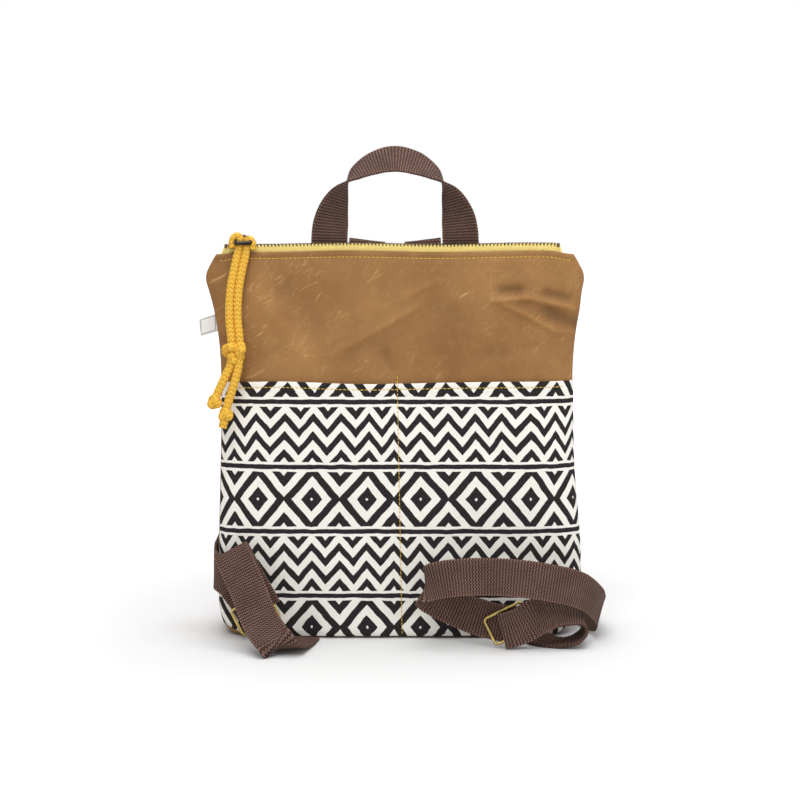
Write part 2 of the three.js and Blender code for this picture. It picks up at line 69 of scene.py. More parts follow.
# Form of the bag, in millimetres. The shoulders are fuller than those of the solids
BAG_HEIGHT = 270
SHOULDER_HEIGHT = 251
WIDTH_STATIONS = ((0, 226), (26, 250), (175, 244), (SHOULDER_HEIGHT, 266.5), (BAG_HEIGHT, 246))
FLARE_POWER = 2.4
SHOULDER_POWER = 1.15
SHOULDER_ROUND = 4.5
BASE_HALF_DEPTH = 32
RIM_HALF_DEPTH = 2.85
TAPER_POWER = 2.2
CORNER_POWER = 5
FACE_SHARE = 0.8
POCKET_BOTTOM = 1.9
POCKET_HEIGHT = 179
LAYER_GAP = 0.3
# Fillings of the right half: by how much, from which height down, and over how far each grows
RIGHT_FILLINGS = ((2.6, 250, 25), (3.4, 130, 75))
RIGHT_FILLING_FOOT = 32
# The folds of the canvas fade out over this length, short of the rim's band
FOLD_FADE = 14
RIM_BAND = 6
FACES = (("front", -1), ("back", 1))

# Webbing, zip and cord, in millimetres
WEB_WIDTH = 25.4
WEB_THICKNESS = 1.7
ZIP_LEFT = -119
ZIP_RIGHT = 115
SLIDER_X = -105.5
CORD_DIAMETER = 6
BRAID_CARRIERS = 12
BRAID_LAY = 3.1 * CORD_DIAMETER
TAG_SIZE = 12.3
TAG_LINE = 5.1


def per_mm(size):
    """Gives the texture scale at which one repeat is this many millimetres."""
    return 1 / (size * MM)


def wave_mm(size):
    """Gives the wave texture's scale at which its bands are this many millimetres apart."""
    return 2 * math.pi / (20 * size * MM)


def colour_setting(name, text, hex_value):
    """Gives a colour property that shows an sRGB hex value as it is written."""
    shares = tuple(int(hex_value[place:place + 2], 16) / 255 for place in (1, 3, 5))
    return bpy.props.FloatVectorProperty(
        name=name, description=text, subtype="COLOR_GAMMA", size=3, min=0, max=1, default=shares)


def length_setting(name, text, millimetres):
    """Gives a length property whose default is in millimetres."""
    return bpy.props.FloatProperty(
        name=name, description=text, unit="LENGTH", default=millimetres * MM, precision=5)


class BackpackSizes(bpy.types.PropertyGroup):
    """Sizes that a maker would change."""
    canvas: length_setting("Canvas", "Thickness of the waxed canvas", 1.1)
    cotton: length_setting("Cotton", "Thickness of the printed cotton", 0.9)
    stitch: length_setting("Stitch", "Length of one topstitch", 2.7)
    stitch_gap: length_setting("Stitch gap", "Gap between two topstitches", 0.3)
    thread: length_setting("Thread", "Thickness of the topstitching thread", 0.55)
    web_rib: length_setting("Web rib", "Spacing of the webbing's cross ribs", 2.0)
    print_band: length_setting("Print band", "Height of one band of the print", 45)


class BackpackColours(bpy.types.PropertyGroup):
    """Colours of the cloths, the metals and the cord."""
    canvas: colour_setting("Canvas", "Waxed canvas", "#966c3d")
    canvas_dark: colour_setting("Canvas shade", "Canvas where the wax lies thick", "#80582d")
    canvas_light: colour_setting("Canvas scuff", "Canvas where the wax is creased", "#cba670")
    print_dark: colour_setting("Print", "Printed ink", "#1d181b")
    print_light: colour_setting("Ground", "Cotton ground of the print", "#f1eee6")
    thread: colour_setting("Thread", "Topstitching thread", "#dcb447")
    web: colour_setting("Webbing", "Cotton webbing", "#7d6156")
    # Painted shade: the colour of the gaps between the webbing's ribs
    web_painted_shade: colour_setting("Webbing shade", "Gaps between the webbing's ribs", "#2c1e1a")
    cord: colour_setting("Cord", "Braided cord", "#eebb47")
    # Painted shade: the colour of the braid's low places, where the strands dive under each other
    cord_painted_shade: colour_setting("Cord shade", "Gaps in the braid", "#a9761f")
    tape: colour_setting("Zip tape", "Woven zip tape", "#ffe68c")
    tag: colour_setting("Tag", "Woven tag", "#f3f2ee")
    tag_edge: colour_setting("Tag edge", "Line along the tag's edge", "#8f9093")
    brass: colour_setting("Brass", "Adjuster wire", "#c8b069")
    zip_metal: colour_setting("Zip metal", "Antique brass of the zip", "#6b5a45")
    dark_metal: colour_setting("Dark plating", "Plated wire of the pull", "#3a3430")


class BackpackView(bpy.types.PropertyGroup):
    """Place of the camera, as the photograph was taken."""
    distance: length_setting("Distance", "From the camera to the bag's front", 1300)
    height: length_setting("Height", "Camera's height over the floor", 330)
    aim_x: length_setting("Aim across", "Point looked at, across", 3.5)
    aim_z: length_setting("Aim up", "Point looked at, height", 168)
    span: length_setting("Span", "Width that fills the frame at the bag's front", 551)


# Form of the canvas

def smooth(share):
    """Eases a share from 0 to 1 with level ends."""
    share = min(max(share, 0), 1)
    return share * share * (3 - 2 * share)


def cut_half_width(z):
    """Half the bag's width at a height, as the cloth is cut."""
    eases = (lambda s: math.sqrt(s * (2 - s)), smooth, lambda s: s ** FLARE_POWER,
             lambda s: s ** SHOULDER_POWER)
    z = min(max(z, 0), BAG_HEIGHT)
    for (low, start), (high, end), ease in zip(WIDTH_STATIONS, WIDTH_STATIONS[1:], eases):
        if z <= high:
            return (start + (end - start) * ease((z - low) / (high - low))) / 2
    return WIDTH_STATIONS[-1][1] / 2


def half_width(z, x=0):
    """Half the bag's width at a height, the shoulders rounded and the right half filled out more."""
    fuller = 0
    if x > 0:
        fuller = smooth(z / RIGHT_FILLING_FOOT) * sum(
            size * smooth((top - z) / grown) for size, top, grown in RIGHT_FILLINGS)
    if abs(z - SHOULDER_HEIGHT) > 2 * SHOULDER_ROUND:
        return cut_half_width(z) + fuller
    return fuller + sum(cut_half_width(z + SHOULDER_ROUND * step / 2) for step in range(-2, 3)) / 5


def half_depth(z):
    """Half the bag's depth at a height."""
    share = min(max(z / BAG_HEIGHT, 0), 1)
    return RIM_HALF_DEPTH + (BASE_HALF_DEPTH - RIM_HALF_DEPTH) * (1 - share ** TAPER_POWER)


def corner_share(share):
    """How deep the bag's rounded section still is at a share of its half width."""
    return max(1 - abs(share) ** CORNER_POWER, 0) ** (1 / CORNER_POWER)


def swell(offset, width):
    """A soft rise that is 1 in its middle and fades out to both sides."""
    return math.exp(-(offset / width) ** 2)


def fold(x, z, start, end, width, depth):
    """Height of one soft fold that runs between two points of the front."""
    along = Vector(end) - Vector(start)
    offset = Vector((x, z)) - Vector(start)
    share = offset.dot(along) / along.length_squared
    aside = (offset - along * share).length
    fade = smooth((share + 0.25) / 0.4) * smooth((1.25 - share) / 0.4)
    return depth * fade * swell(aside, width)


# Folds of the upper front: where each starts and ends (across, up), its width and its height
FRONT_FOLDS = (
    ((68, 235), (92, 237), 2.8, 1.8), ((92, 237), (129, 229), 2.8, 1.8),
    ((72, 242), (88, 242), 3.2, -1.7), ((104, 240), (122, 236), 3.4, -2.0),
    ((103, 228), (129, 218), 4.4, -2.6),
    ((76, 232), (92, 225), 2.6, 1.3), ((92, 225), (112, 214), 2.6, 1.3), ((112, 214), (131, 213), 2.6, 1.3),
    ((-40, 200), (12, 229), 3, 0.9), ((-36, 194), (18, 222), 7, -0.6),
    ((4, 236), (28, 248), 2.6, 0.8), ((26, 234), (52, 222), 8, -0.6),
    ((-96, 244), (-60, 196), 8, 0.7), ((-80, 250), (-50, 214), 8, -0.5),
    ((60, 196), (104, 204), 5, -0.6), ((-4, 186), (-8, 200), 4, -0.9), ((8, 184), (14, 198), 3, 0.8),
)


def canvas_folds(x, z, ridge_share=1):
    """Height of the folds of the upper front, whose ridges may be taken narrower."""
    fade = smooth((BAG_HEIGHT - RIM_BAND - z) / FOLD_FADE) * smooth((z - POCKET_HEIGHT) / FOLD_FADE)
    if fade == 0:
        return 0
    height = 0
    for start, end, width, depth in FRONT_FOLDS:
        height += fold(x, z, start, end, width * (ridge_share if depth > 0 else 1), depth)
    return fade * height


def face_folds(side, x, z, ridge_share=1):
    """Height of the folds of the front, or of the calmer back."""
    return canvas_folds(x, z, ridge_share) if side < 0 else 0.6 * canvas_folds(-x, z, ridge_share)


def crumple(x, y, z, size, seed):
    """Even small unevenness of handled cloth, from -1 to 1."""
    return noise.fractal(Vector((x, y, z)) / size + Vector((seed, seed, seed)), 1, 2, 3)


def bag_point(side, across, z, out=0):
    """Point of the bag's outer face: side -1 front, 1 back; across -1 to 1 from seam to seam."""
    aside = min(abs(across) / FACE_SHARE, 1)
    forward = min((1 - abs(across)) / (1 - FACE_SHARE), 1)
    reach = (aside ** CORNER_POWER + forward ** CORNER_POWER) ** (1 / CORNER_POWER)
    x = math.copysign(half_width(z, across) * aside / reach, across)
    y = half_depth(z) * forward / reach
    flat = 1 - abs(across) ** 6
    return Vector((x, side * (y + out * flat), z))


def across_at(x, z):
    """The across value at which the bag's face reaches this x."""
    share = min(abs(x) / half_width(z, x), 1) ** CORNER_POWER
    if share < 0.5:
        return math.copysign(FACE_SHARE * (share / (1 - share)) ** (1 / CORNER_POWER), x)
    return math.copysign(1 - (1 - FACE_SHARE) * (1 / share - 1) ** (1 / CORNER_POWER), x)


def canvas_wave(side, point):
    """How far the real canvas stands off the plain form at a point."""
    x, z = point.x, point.z
    seam = smooth((half_width(z, x) - abs(x)) / 14)
    rim = smooth((BAG_HEIGHT - 4 - z) / 18)
    wave = 1.1 * crumple(x, side * 60, z, 62, 3) + 0.35 * crumple(x, side * 60, z, 19, 8)
    return (wave * rim + 1.4 * face_folds(side, x, z)) * seam


def pocket_top(x):
    """Height of the pocket's upper edge, a little slack in each half."""
    return POCKET_HEIGHT + 0.35 * math.sin(x / 21) - 0.9 * math.cos(x / 33) - 1.4 * smooth((-x - 70) / 50)


def pocket_wave(x, z):
    """How far the pocket's cotton stands off the canvas: slack at the top, drawn in at its seams."""
    up = min(max(z / POCKET_HEIGHT, 0), 1)
    from_seam = x - divider_x(z)
    middle = swell(from_seam, 7)
    sides = smooth((half_width(z, x) - abs(x)) / 22)
    puff = 1.6 * up ** 3 * sides * (1 - middle)
    ripples = 0.5 * crumple(x, -90, z, 38, 5) * sides * (0.4 + 0.6 * up)
    pucker = 0.16 * math.sin(z / 3.3 + 2 * math.sin(z / 19)) * swell(from_seam, 9)
    return puff + ripples + pucker - 0.55 * middle


def divider_x(z):
    """Where the seam that halves the pocket runs."""
    return 1.6 + 3.4 * (1 - z / POCKET_HEIGHT)


# Making of pieces

def linear(colour):
    """Turns an sRGB colour to a linear one with full cover."""
    shares = [c / 12.92 if c <= 0.04045 else ((c + 0.055) / 1.055) ** 2.4 for c in colour]
    return (*shares, 1)


def new_piece(name, mesh, material, body):
    """Puts a mesh in the scene as a smooth piece that rides on a body."""
    for face in mesh.polygons:
        face.use_smooth = True
    piece = bpy.data.objects.new(name, mesh)
    bpy.context.collection.objects.link(piece)
    mesh.materials.append(material)
    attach(piece, body)
    return piece


def finished_mesh(name, shape):
    """Turns a bmesh into a mesh and frees it."""
    mesh = bpy.data.meshes.new(name)
    shape.to_mesh(mesh)
    shape.free()
    return mesh


def cloth_mesh(name, columns, rows, place, unroll, folded=None):
    """A grid laid out by place(across, up), both 0 to 1; unroll gives a point's spot on the flat cloth."""
    shape = bmesh.new()
    layer = shape.loops.layers.uv.new("UVMap")
    height = shape.verts.layers.float.new("fold")
    bmesh.ops.create_grid(shape, x_segments=columns, y_segments=rows, size=1)
    for vert in shape.verts:
        point = place((vert.co.x + 1) / 2, (vert.co.y + 1) / 2)
        spot = Vector(unroll(point)) * MM
        for loop in vert.link_loops:
            loop[layer].uv = spot
        vert[height] = folded(point) if folded else 0
        vert.co = point * MM
    return finished_mesh(name, shape)


def unrolled(point):
    """Spot of a point of the bag's face when the cloth is laid flat."""
    return point.x + math.copysign(half_depth(point.z) - abs(point.y), point.x), point.z


def thicken(piece, thickness, offset=-1):
    """Gives a cloth its thickness: behind its face (-1), to both sides (0) or in front of it (1)."""
    solid = piece.modifiers.new("Thickness", "SOLIDIFY")
    solid.thickness = thickness
    solid.offset = offset


def soften(piece, width):
    """Rounds the hard edges of a piece."""
    edge = piece.modifiers.new("Edge", "BEVEL")
    edge.width = width
    edge.segments = 2
    edge.limit_method = "ANGLE"
    edge.angle_limit = math.radians(40)


def knotted_curve(points, share):
    """Point of the centripetal curve through the points, at a share of its knots."""
    place = share * (len(points) - 1)
    first = min(int(place), len(points) - 2)
    weight = place - first
    start, end = points[first], points[first + 1]
    before = points[first - 1] if first > 0 else start * 2 - end
    after = points[first + 2] if first + 2 < len(points) else end * 2 - start
    gaps = [max((b - a).length, 1e-4) ** 0.5 for a, b in ((before, start), (start, end), (end, after))]
    leave = ((start - before) / gaps[0] - (end - before) / (gaps[0] + gaps[1]) + (end - start) / gaps[1])
    arrive = ((end - start) / gaps[1] - (after - start) / (gaps[1] + gaps[2]) + (after - end) / gaps[2])
    leave, arrive = leave * gaps[1], arrive * gaps[1]
    bend = start * 2 - end * 2 + leave + arrive
    turn = end * 3 - start * 3 - leave * 2 - arrive
    return ((bend * weight + turn) * weight + leave) * weight + start


def travelled(path):
    """How far along a path each of its points lies."""
    steps = ((b - a).length for a, b in zip(path, path[1:]))
    return list(itertools.accumulate(steps, initial=0))


def even_path(stations, spacing):
    """Points at even spacing along the curve through a few stations."""
    points = [Vector(station) for station in stations]
    steps = len(points) * 24
    dense = [knotted_curve(points, step / steps) for step in range(steps + 1)]
    lengths = travelled(dense)
    count = max(round(lengths[-1] / spacing), 2)
    path = []
    place = 0
    for step in range(count + 1):
        goal = lengths[-1] * step / count
        while place < len(dense) - 2 and lengths[place + 1] < goal:
            place += 1
        share = (goal - lengths[place]) / (lengths[place + 1] - lengths[place])
        path.append(dense[place].lerp(dense[place + 1], min(share, 1)))
    return path


def path_length(path):
    """Length of a path."""
    return travelled(path)[-1]


def travel_frames(path, level):
    """Along, side and up directions at each point of a path, turned as little as possible."""
    frames = []
    up = Vector(level)
    for index in range(len(path)):
        along = (path[min(index + 1, len(path) - 1)] - path[max(index - 1, 0)]).normalized()
        up = (up - along * up.dot(along)).normalized()
        frames.append((along, along.cross(up), up))
    return frames


def braid_height(turn, length):
    """Height of a braided cord's face: strands that cross over and under each other."""
    strands = [(BRAID_CARRIERS / 2) * (turn + way * length / BRAID_LAY) for way in (1, -1)]
    left, right = (math.sqrt(max(1 - (2 * (strand % 1) - 1) ** 2, 0)) for strand in strands)
    over = 0.5 + 0.5 * math.sin(2 * math.pi * sum(strands) / 2)
    return max(left * (0.45 + 0.55 * over), right * (1 - 0.55 * over))


def tube_mesh(name, path, radius, level=(0, -1, 0), sides=24, braid=True, close=False):
    """A round tube along a path in millimetres, with a braid's relief if asked, joined up or capped."""
    shape = bmesh.new()
    relief = shape.verts.layers.float.new("relief")
    rows = len(path) - 1
    bmesh.ops.create_grid(shape, x_segments=sides, y_segments=rows, size=1)
    frames = travel_frames(path, level)
    lengths = travelled(path)
    for vert in shape.verts:
        turn = (vert.co.x + 1) / 2
        row = round((vert.co.y + 1) / 2 * rows)
        height = braid_height(turn, lengths[row]) if braid else 1
        size = radius(row / rows) if callable(radius) else radius
        size *= (0.86 + 0.16 * height) if braid else 1
        angle = 2 * math.pi * turn
        _, side, up = frames[row]
        vert.co = (path[row] + (side * math.cos(angle) + up * math.sin(angle)) * size) * MM
        vert[relief] = height
    bmesh.ops.remove_doubles(shape, verts=shape.verts, dist=1e-6)
    if not close:
        bmesh.ops.holes_fill(shape, edges=[edge for edge in shape.edges if edge.is_boundary])
    bmesh.ops.recalc_face_normals(shape, faces=shape.faces)
    return finished_mesh(name, shape)


def ribbon_frames(stations, rows):
    """Middle, across and face directions along a band of webbing."""
    middles = [Vector(middle) for middle, _ in stations]
    sides = [Vector(side).normalized() for _, side in stations]
    centres = [knotted_curve(middles, step / rows) for step in range(rows + 1)]
    frames = []
    for row in range(rows + 1):
        along = (centres[min(row + 1, rows)] - centres[max(row - 1, 0)]).normalized()
        face = along.cross(knotted_curve(sides, row / rows)).normalized()
        frames.append((centres[row], face.cross(along).normalized(), face))
    return frames


def ribbon_mesh(name, stations, rows_per_station=26, columns=12):
    """A band of webbing through stations of middle point and across direction, in millimetres."""
    rows = rows_per_station * (len(stations) - 1)
    frames = ribbon_frames(stations, rows)
    lengths = travelled([centre for centre, _, _ in frames])
    shape = bmesh.new()
    layer = shape.loops.layers.uv.new("UVMap")
    bmesh.ops.create_grid(shape, x_segments=columns, y_segments=rows, size=1)
    for face in shape.faces:
        for loop in face.loops:
            row = round((loop.vert.co.y + 1) / 2 * rows)
            loop[layer].uv = (loop.vert.co.x / 2 * WEB_WIDTH * MM, lengths[row] * MM)
    for vert in shape.verts:
        row = round((vert.co.y + 1) / 2 * rows)
        centre, side, face = frames[row]
        wear = 1 + 0.012 * crumple(row * 0.7, 0, 0, 9, 2)
        edge = abs(vert.co.x) ** 8
        cup = 0.22 * crumple(row * 0.9, vert.co.x * 9, 0, 22, 6)
        vert.co = (centre + side * (vert.co.x / 2 * WEB_WIDTH * wear) + face * (cup - 0.1 * edge)) * MM
    return finished_mesh(name, shape), lengths[-1]


def add_stitches(shape, path, out, length, gap, thread):
    """Lays a row of stitches along a path in millimetres; out is the way that faces the eye."""
    lengths = travelled(path)
    count = max(int(lengths[-1] / (length + gap)), 1)
    scale = Matrix.Diagonal((length / 2 * MM, thread * 0.62 * MM, thread * 0.5 * MM, 1))
    place = 0
    for index in range(count):
        goal = (index + 0.5) * lengths[-1] / count
        while place < len(path) - 2 and lengths[place + 1] < goal:
            place += 1
        along = (path[place + 1] - path[place]).normalized()
        centre = path[place] + along * (goal - lengths[place])
        facing_eye = (out - along * out.dot(along)).normalized()
        turned = Matrix((along, facing_eye.cross(along), facing_eye)).transposed().to_4x4()
        turned = Matrix.Translation(centre * MM) @ turned
        bmesh.ops.create_uvsphere(shape, u_segments=8, v_segments=5, radius=1, matrix=turned @ scale)


# Materials

def add_node(tree, kind, inputs=None, output=0, **settings):
    """Adds a node with its settings and links, and gives one of its outputs."""
    made = tree.nodes.new("ShaderNode" + kind)
    for name, value in settings.items():
        setattr(made, name, value)
    for name, value in (inputs or {}).items():
        if isinstance(value, bpy.types.NodeSocket):
            tree.links.new(value, made.inputs[name])
        else:
            made.inputs[name].default_value = value
    return made.outputs[output] if made.outputs else made


# What makes a Mix node one of colours
COLOUR_MIX = {"output": 2, "data_type": "RGBA"}


def start_material(name, **constants):
    """A new material with the shader's constants set, what adds a node to it, and its shader."""
    material = bpy.data.materials.new(name)
    material.use_nodes = True
    shader = material.node_tree.nodes["Principled BSDF"]
    for socket, value in constants.items():
        shader.inputs[socket.replace("_", " ")].default_value = value
    return material, functools.partial(add_node, material.node_tree), shader


def join(shader, **outputs):
    """Links outputs of nodes to the shader's sockets of these names."""
    for socket, output in outputs.items():
        shader.id_data.links.new(output, shader.inputs[socket.replace("_", " ")])


def colours():
    """The scene's colour settings."""
    return bpy.context.scene.backpack_colours


def sizes():
    """The scene's size settings."""
    return bpy.context.scene.backpack_sizes


SCUFF_TURNS = (-30, -54)
SCUFF_SIZE = (13 * MM, 13 * MM, 1.5 * MM)
# Threads are 0.6 mm apart on the canvas and 0.5 mm on the cotton, and drawn wider, so that they show
CANVAS_THREAD = 1.1
COTTON_THREAD = 0.9
# The print: a band's width by its height, where the lowest band starts, and how its figures are cut
PRINT_ASPECT = 0.85
PRINT_START = 0.3
LOZENGE_STEPS = (("MULTIPLY", 3.0), ("ADD", 0.08), ("FRACT", 0), ("GREATER_THAN", 0.5))
ZIGZAG_STEPS = (("MULTIPLY", 3.6), ("FRACT", 0), ("GREATER_THAN", 0.52))
# Width of the webbing's columns of ribs and of its worn edge, in millimetres
WEB_COLUMN = 1.27
WEB_SELVEDGE = 1.9


def waxed_canvas():
    """Plain-woven cotton duck, waxed: cloudy browns, pale pull-up lines at creases, a dull gleam, painted
    shade in the hollows of its folds and paler ridges.
    """
    material, add, shader = start_material("waxed_cotton_duck", Specular_IOR_Level=0.3)
    tint = colours()
    place = add("TexCoord", output="Object")
    clouds = add("TexNoise", {"Vector": place, "Scale": per_mm(48), "Detail": 5})
    mottle = add("TexNoise", {"Vector": place, "Scale": per_mm(7), "Detail": 6, "Roughness": 0.62})
    cloud_share = add("MapRange", {0: clouds, 1: 0.34, 2: 0.64})
    base = add(
        "Mix", {0: cloud_share, 6: linear(tint.canvas_dark), 7: linear(tint.canvas)}, **COLOUR_MIX)
    fleck = add("MapRange", {0: mottle, 1: 0.5, 2: 0.8, 4: 0.14})
    base = add("Mix", {0: fleck, 6: base, 7: linear(tint.canvas_light)}, **COLOUR_MIX)
    bent = add("TexNoise", {"Vector": place, "Scale": per_mm(30), "Detail": 4}, output=1)
    shift = add("VectorMath", {0: bent, "Scale": 26 * MM}, operation="SCALE")
    warped = add("VectorMath", {0: place, 1: shift}, operation="ADD")
    creases = add("TexVoronoi", {"Vector": warped, "Scale": per_mm(34)}, feature="DISTANCE_TO_EDGE")
    marks = add("MapRange", {0: creases, 1: 0.014, 2: 0.0, 4: 0.28})
    worn = add("MapRange", {0: clouds, 1: 0.52, 2: 0.66})
    marks = add("Math", {0: marks, 1: worn}, operation="MULTIPLY")
    rubbed = add("TexNoise", {"Vector": place, "Scale": per_mm(24), "Detail": 3})
    rubbed = add("MapRange", {0: rubbed, 1: 0.42, 2: 0.62, 3: 0.06, 4: 1.0})
    # Short pale scuffs lie in two directions, drawn out along one side of their size
    for turn in SCUFF_TURNS:
        lie = add(
            "Mapping", {"Vector": place, "Rotation": (0, math.radians(turn), 0), "Scale": SCUFF_SIZE},
            vector_type="TEXTURE")
        scuff = add("TexNoise", {"Vector": lie, "Scale": 1, "Detail": 2, "Distortion": 0.8})
        scuff = add("MapRange", {0: scuff, 1: 0.635, 2: 0.8, 4: 0.85})
        scuff = add("Math", {0: scuff, 1: rubbed}, operation="MULTIPLY")
        marks = add("Math", {0: marks, 1: scuff}, operation="MAXIMUM")
    base = add("Mix", {0: marks, 6: base, 7: linear(tint.canvas_light)}, **COLOUR_MIX)
    # Painted shade darkens the hollow of a fold; its ridge goes paler, partly as the wax pulls up and partly
    # as painted light
    folds = add("Attribute", attribute_name="fold", output=2)
    fold_shade_tone = add("MapRange", {0: folds, 1: -2.4, 2: 2.0, 3: 0.68, 4: 1.38})
    base = add("VectorMath", {0: base, "Scale": fold_shade_tone}, operation="SCALE")
    yarn = {"Vector": place, "Scale": wave_mm(CANVAS_THREAD), "Distortion": 0.6, "Detail": 1}
    warp, weft = (add("TexWave", yarn, output=1, bands_direction=way) for way in "XZ")
    weave = add("Math", {0: warp, 1: weft}, operation="ADD")
    weave_tone = add("MapRange", {0: weave, 1: 0.4, 2: 1.6, 3: 0.94, 4: 1.03})
    base = add("VectorMath", {0: base, "Scale": weave_tone}, operation="SCALE")
    gloss = add("MapRange", {0: mottle, 1: 0.3, 2: 0.7, 3: 0.5, 4: 0.72})
    fine = add("Bump", {"Strength": 0.35, "Distance": 0.16 * MM, "Height": weave})
    relief = add("Bump", {"Strength": 0.5, "Distance": 0.5 * MM, "Height": mottle, "Normal": fine})
    join(shader, Base_Color=base, Roughness=gloss, Normal=relief)
    return material


def printed_cotton():
    """Cotton canvas, block printed: soft matt ink with slightly uneven edges on a cream ground."""
    material, add, shader = start_material("printed_cotton_canvas", Specular_IOR_Level=0.18, Roughness=0.86)
    tint = colours()
    band = sizes().print_band
    flat = add("UVMap", uv_map="UVMap")
    wobble = add("TexNoise", {"Vector": flat, "Scale": per_mm(9), "Detail": 3}, output=1)
    shift = add("VectorMath", {0: wobble, "Scale": 1.6 * MM}, operation="SCALE")
    drawn = add("VectorMath", {0: flat, 1: shift}, operation="ADD")
    across = add("SeparateXYZ", {0: drawn})
    up = across.node.outputs[1]
    column = add("Math", {0: across, 1: PRINT_ASPECT * band}, operation="DIVIDE")
    row = add("Math", {0: up, 1: band}, operation="DIVIDE")
    row = add("Math", {0: row, 1: PRINT_START}, operation="ADD")
    row_start = add("Math", {0: row}, operation="FLOOR")
    row_share = add("Math", {0: row}, operation="FRACT")
    tooth = add("Math", {0: column, 1: 0.5}, operation="PINGPONG")
    slope = add("Math", {0: row_share, 1: 0.5}, operation="PINGPONG")
    # Bands of nested lozenges
    lozenge = add("Math", {0: tooth, 1: slope}, operation="ADD")
    for operation, value in LOZENGE_STEPS:
        lozenge = add("Math", {0: lozenge, 1: value}, operation=operation)
    # Bands of zigzag stripes
    small_tooth = add("Math", {0: column, 1: 0.25}, operation="PINGPONG")
    zigzag = add("Math", {0: small_tooth, 1: row_share}, operation="ADD")
    for operation, value in ZIGZAG_STEPS:
        zigzag = add("Math", {0: zigzag, 1: value}, operation=operation)
    odd = add("Math", {0: row_start, 1: 2}, operation="FLOORED_MODULO")
    ink = add("Mix", {0: odd, 2: lozenge, 3: zigzag})
    # A plain line with a cream edge parts the bands
    edge = add("Math", {0: slope, 1: 0.075}, operation="GREATER_THAN")
    line = add("Math", {0: slope, 1: 0.035}, operation="LESS_THAN")
    ink = add("Math", {0: ink, 1: edge}, operation="MULTIPLY")
    ink = add("Math", {0: ink, 1: line}, operation="MAXIMUM")
    fade = add("TexNoise", {"Vector": flat, "Scale": per_mm(1.3), "Detail": 3})
    fade = add("MapRange", {0: fade, 1: 0.3, 2: 0.7, 3: 0.98, 4: 1.0})
    ink = add("Math", {0: ink, 1: fade}, operation="MULTIPLY")
    yarn = {"Vector": flat, "Scale": wave_mm(COTTON_THREAD), "Distortion": 0.5}
    warp, weft = (add("TexWave", yarn, output=1, bands_direction=way) for way in "XY")
    weave = add("Math", {0: warp, 1: weft}, operation="ADD")
    weave_tone = add("MapRange", {0: weave, 1: 0.4, 2: 1.6, 3: 0.93, 4: 1.02})
    colour = add("Mix", {0: ink, 6: linear(tint.print_light), 7: linear(tint.print_dark)}, **COLOUR_MIX)
    colour = add("VectorMath", {0: colour, "Scale": weave_tone}, operation="SCALE")
    fine = add("Bump", {"Strength": 0.3, "Distance": 0.15 * MM, "Height": weave})
    join(shader, Base_Color=colour, Normal=fine)
    return material


def cotton_webbing():
    """Heavy brown cotton webbing: cross ribs in staggered columns with painted shade in the gaps between
    them, a fuzzy worn selvedge.
    """
    material, add, shader = start_material("cotton_webbing", Specular_IOR_Level=0.15, Roughness=0.88)
    tint = colours()
    flat = add("UVMap", uv_map="UVMap")
    across = add("SeparateXYZ", {0: flat})
    along = across.node.outputs[1]
    column = add("Math", {0: across, 1: WEB_COLUMN * MM}, operation="DIVIDE")
    column_start = add("Math", {0: column}, operation="FLOOR")
    stagger = add("Math", {0: column_start, 1: 2}, operation="FLOORED_MODULO")
    stagger = add("Math", {0: stagger, 1: 0.25}, operation="MULTIPLY")
    rib = add("Math", {0: along, 1: sizes().web_rib}, operation="DIVIDE")
    rib = add("Math", {0: rib, 1: stagger}, operation="ADD")
    rib = add("Math", {0: rib, 1: 0.5}, operation="PINGPONG")
    furrow = add("Math", {0: column, 1: 0.5}, operation="PINGPONG")
    height = add("MapRange", {0: rib, 1: 0.04, 2: 0.4}, interpolation_type="SMOOTHSTEP")
    groove = add("MapRange", {0: furrow, 1: 0.02, 2: 0.3, 3: 0.3})
    height = add("Math", {0: height, 1: groove}, operation="MULTIPLY")
    fuzz = add("TexNoise", {"Vector": flat, "Scale": per_mm(0.8), "Detail": 4})
    wear = add("TexNoise", {"Vector": flat, "Scale": per_mm(16), "Detail": 4})
    edge = add("Math", {0: across}, operation="ABSOLUTE")
    selvedge = {1: (WEB_WIDTH / 2 - WEB_SELVEDGE) * MM, 2: WEB_WIDTH / 2 * MM, 4: 0.5}
    edge = add("MapRange", {0: edge, **selvedge})
    # The gaps between the ribs and the furrows between the columns are painted dark as shade
    colour = add("Mix", {0: height, 6: linear(tint.web_painted_shade), 7: linear(tint.web)}, **COLOUR_MIX)
    tone = add("MapRange", {0: wear, 1: 0.3, 2: 0.7, 3: 0.85, 4: 1.2})
    tone = add("Math", {0: tone, 1: edge}, operation="ADD")
    grain = add("MapRange", {0: fuzz, 1: 0.3, 2: 0.7, 3: 0.82, 4: 1.18})
    tone = add("Math", {0: tone, 1: grain}, operation="MULTIPLY")
    colour = add("VectorMath", {0: colour, "Scale": tone}, operation="SCALE")
    fine = add("Bump", {"Strength": 0.4, "Distance": 0.2 * MM, "Height": fuzz})
    weave = add("Bump", {"Strength": 0.8, "Distance": 0.45 * MM, "Height": height, "Normal": fine})
    join(shader, Base_Color=colour, Normal=weave)
    return material


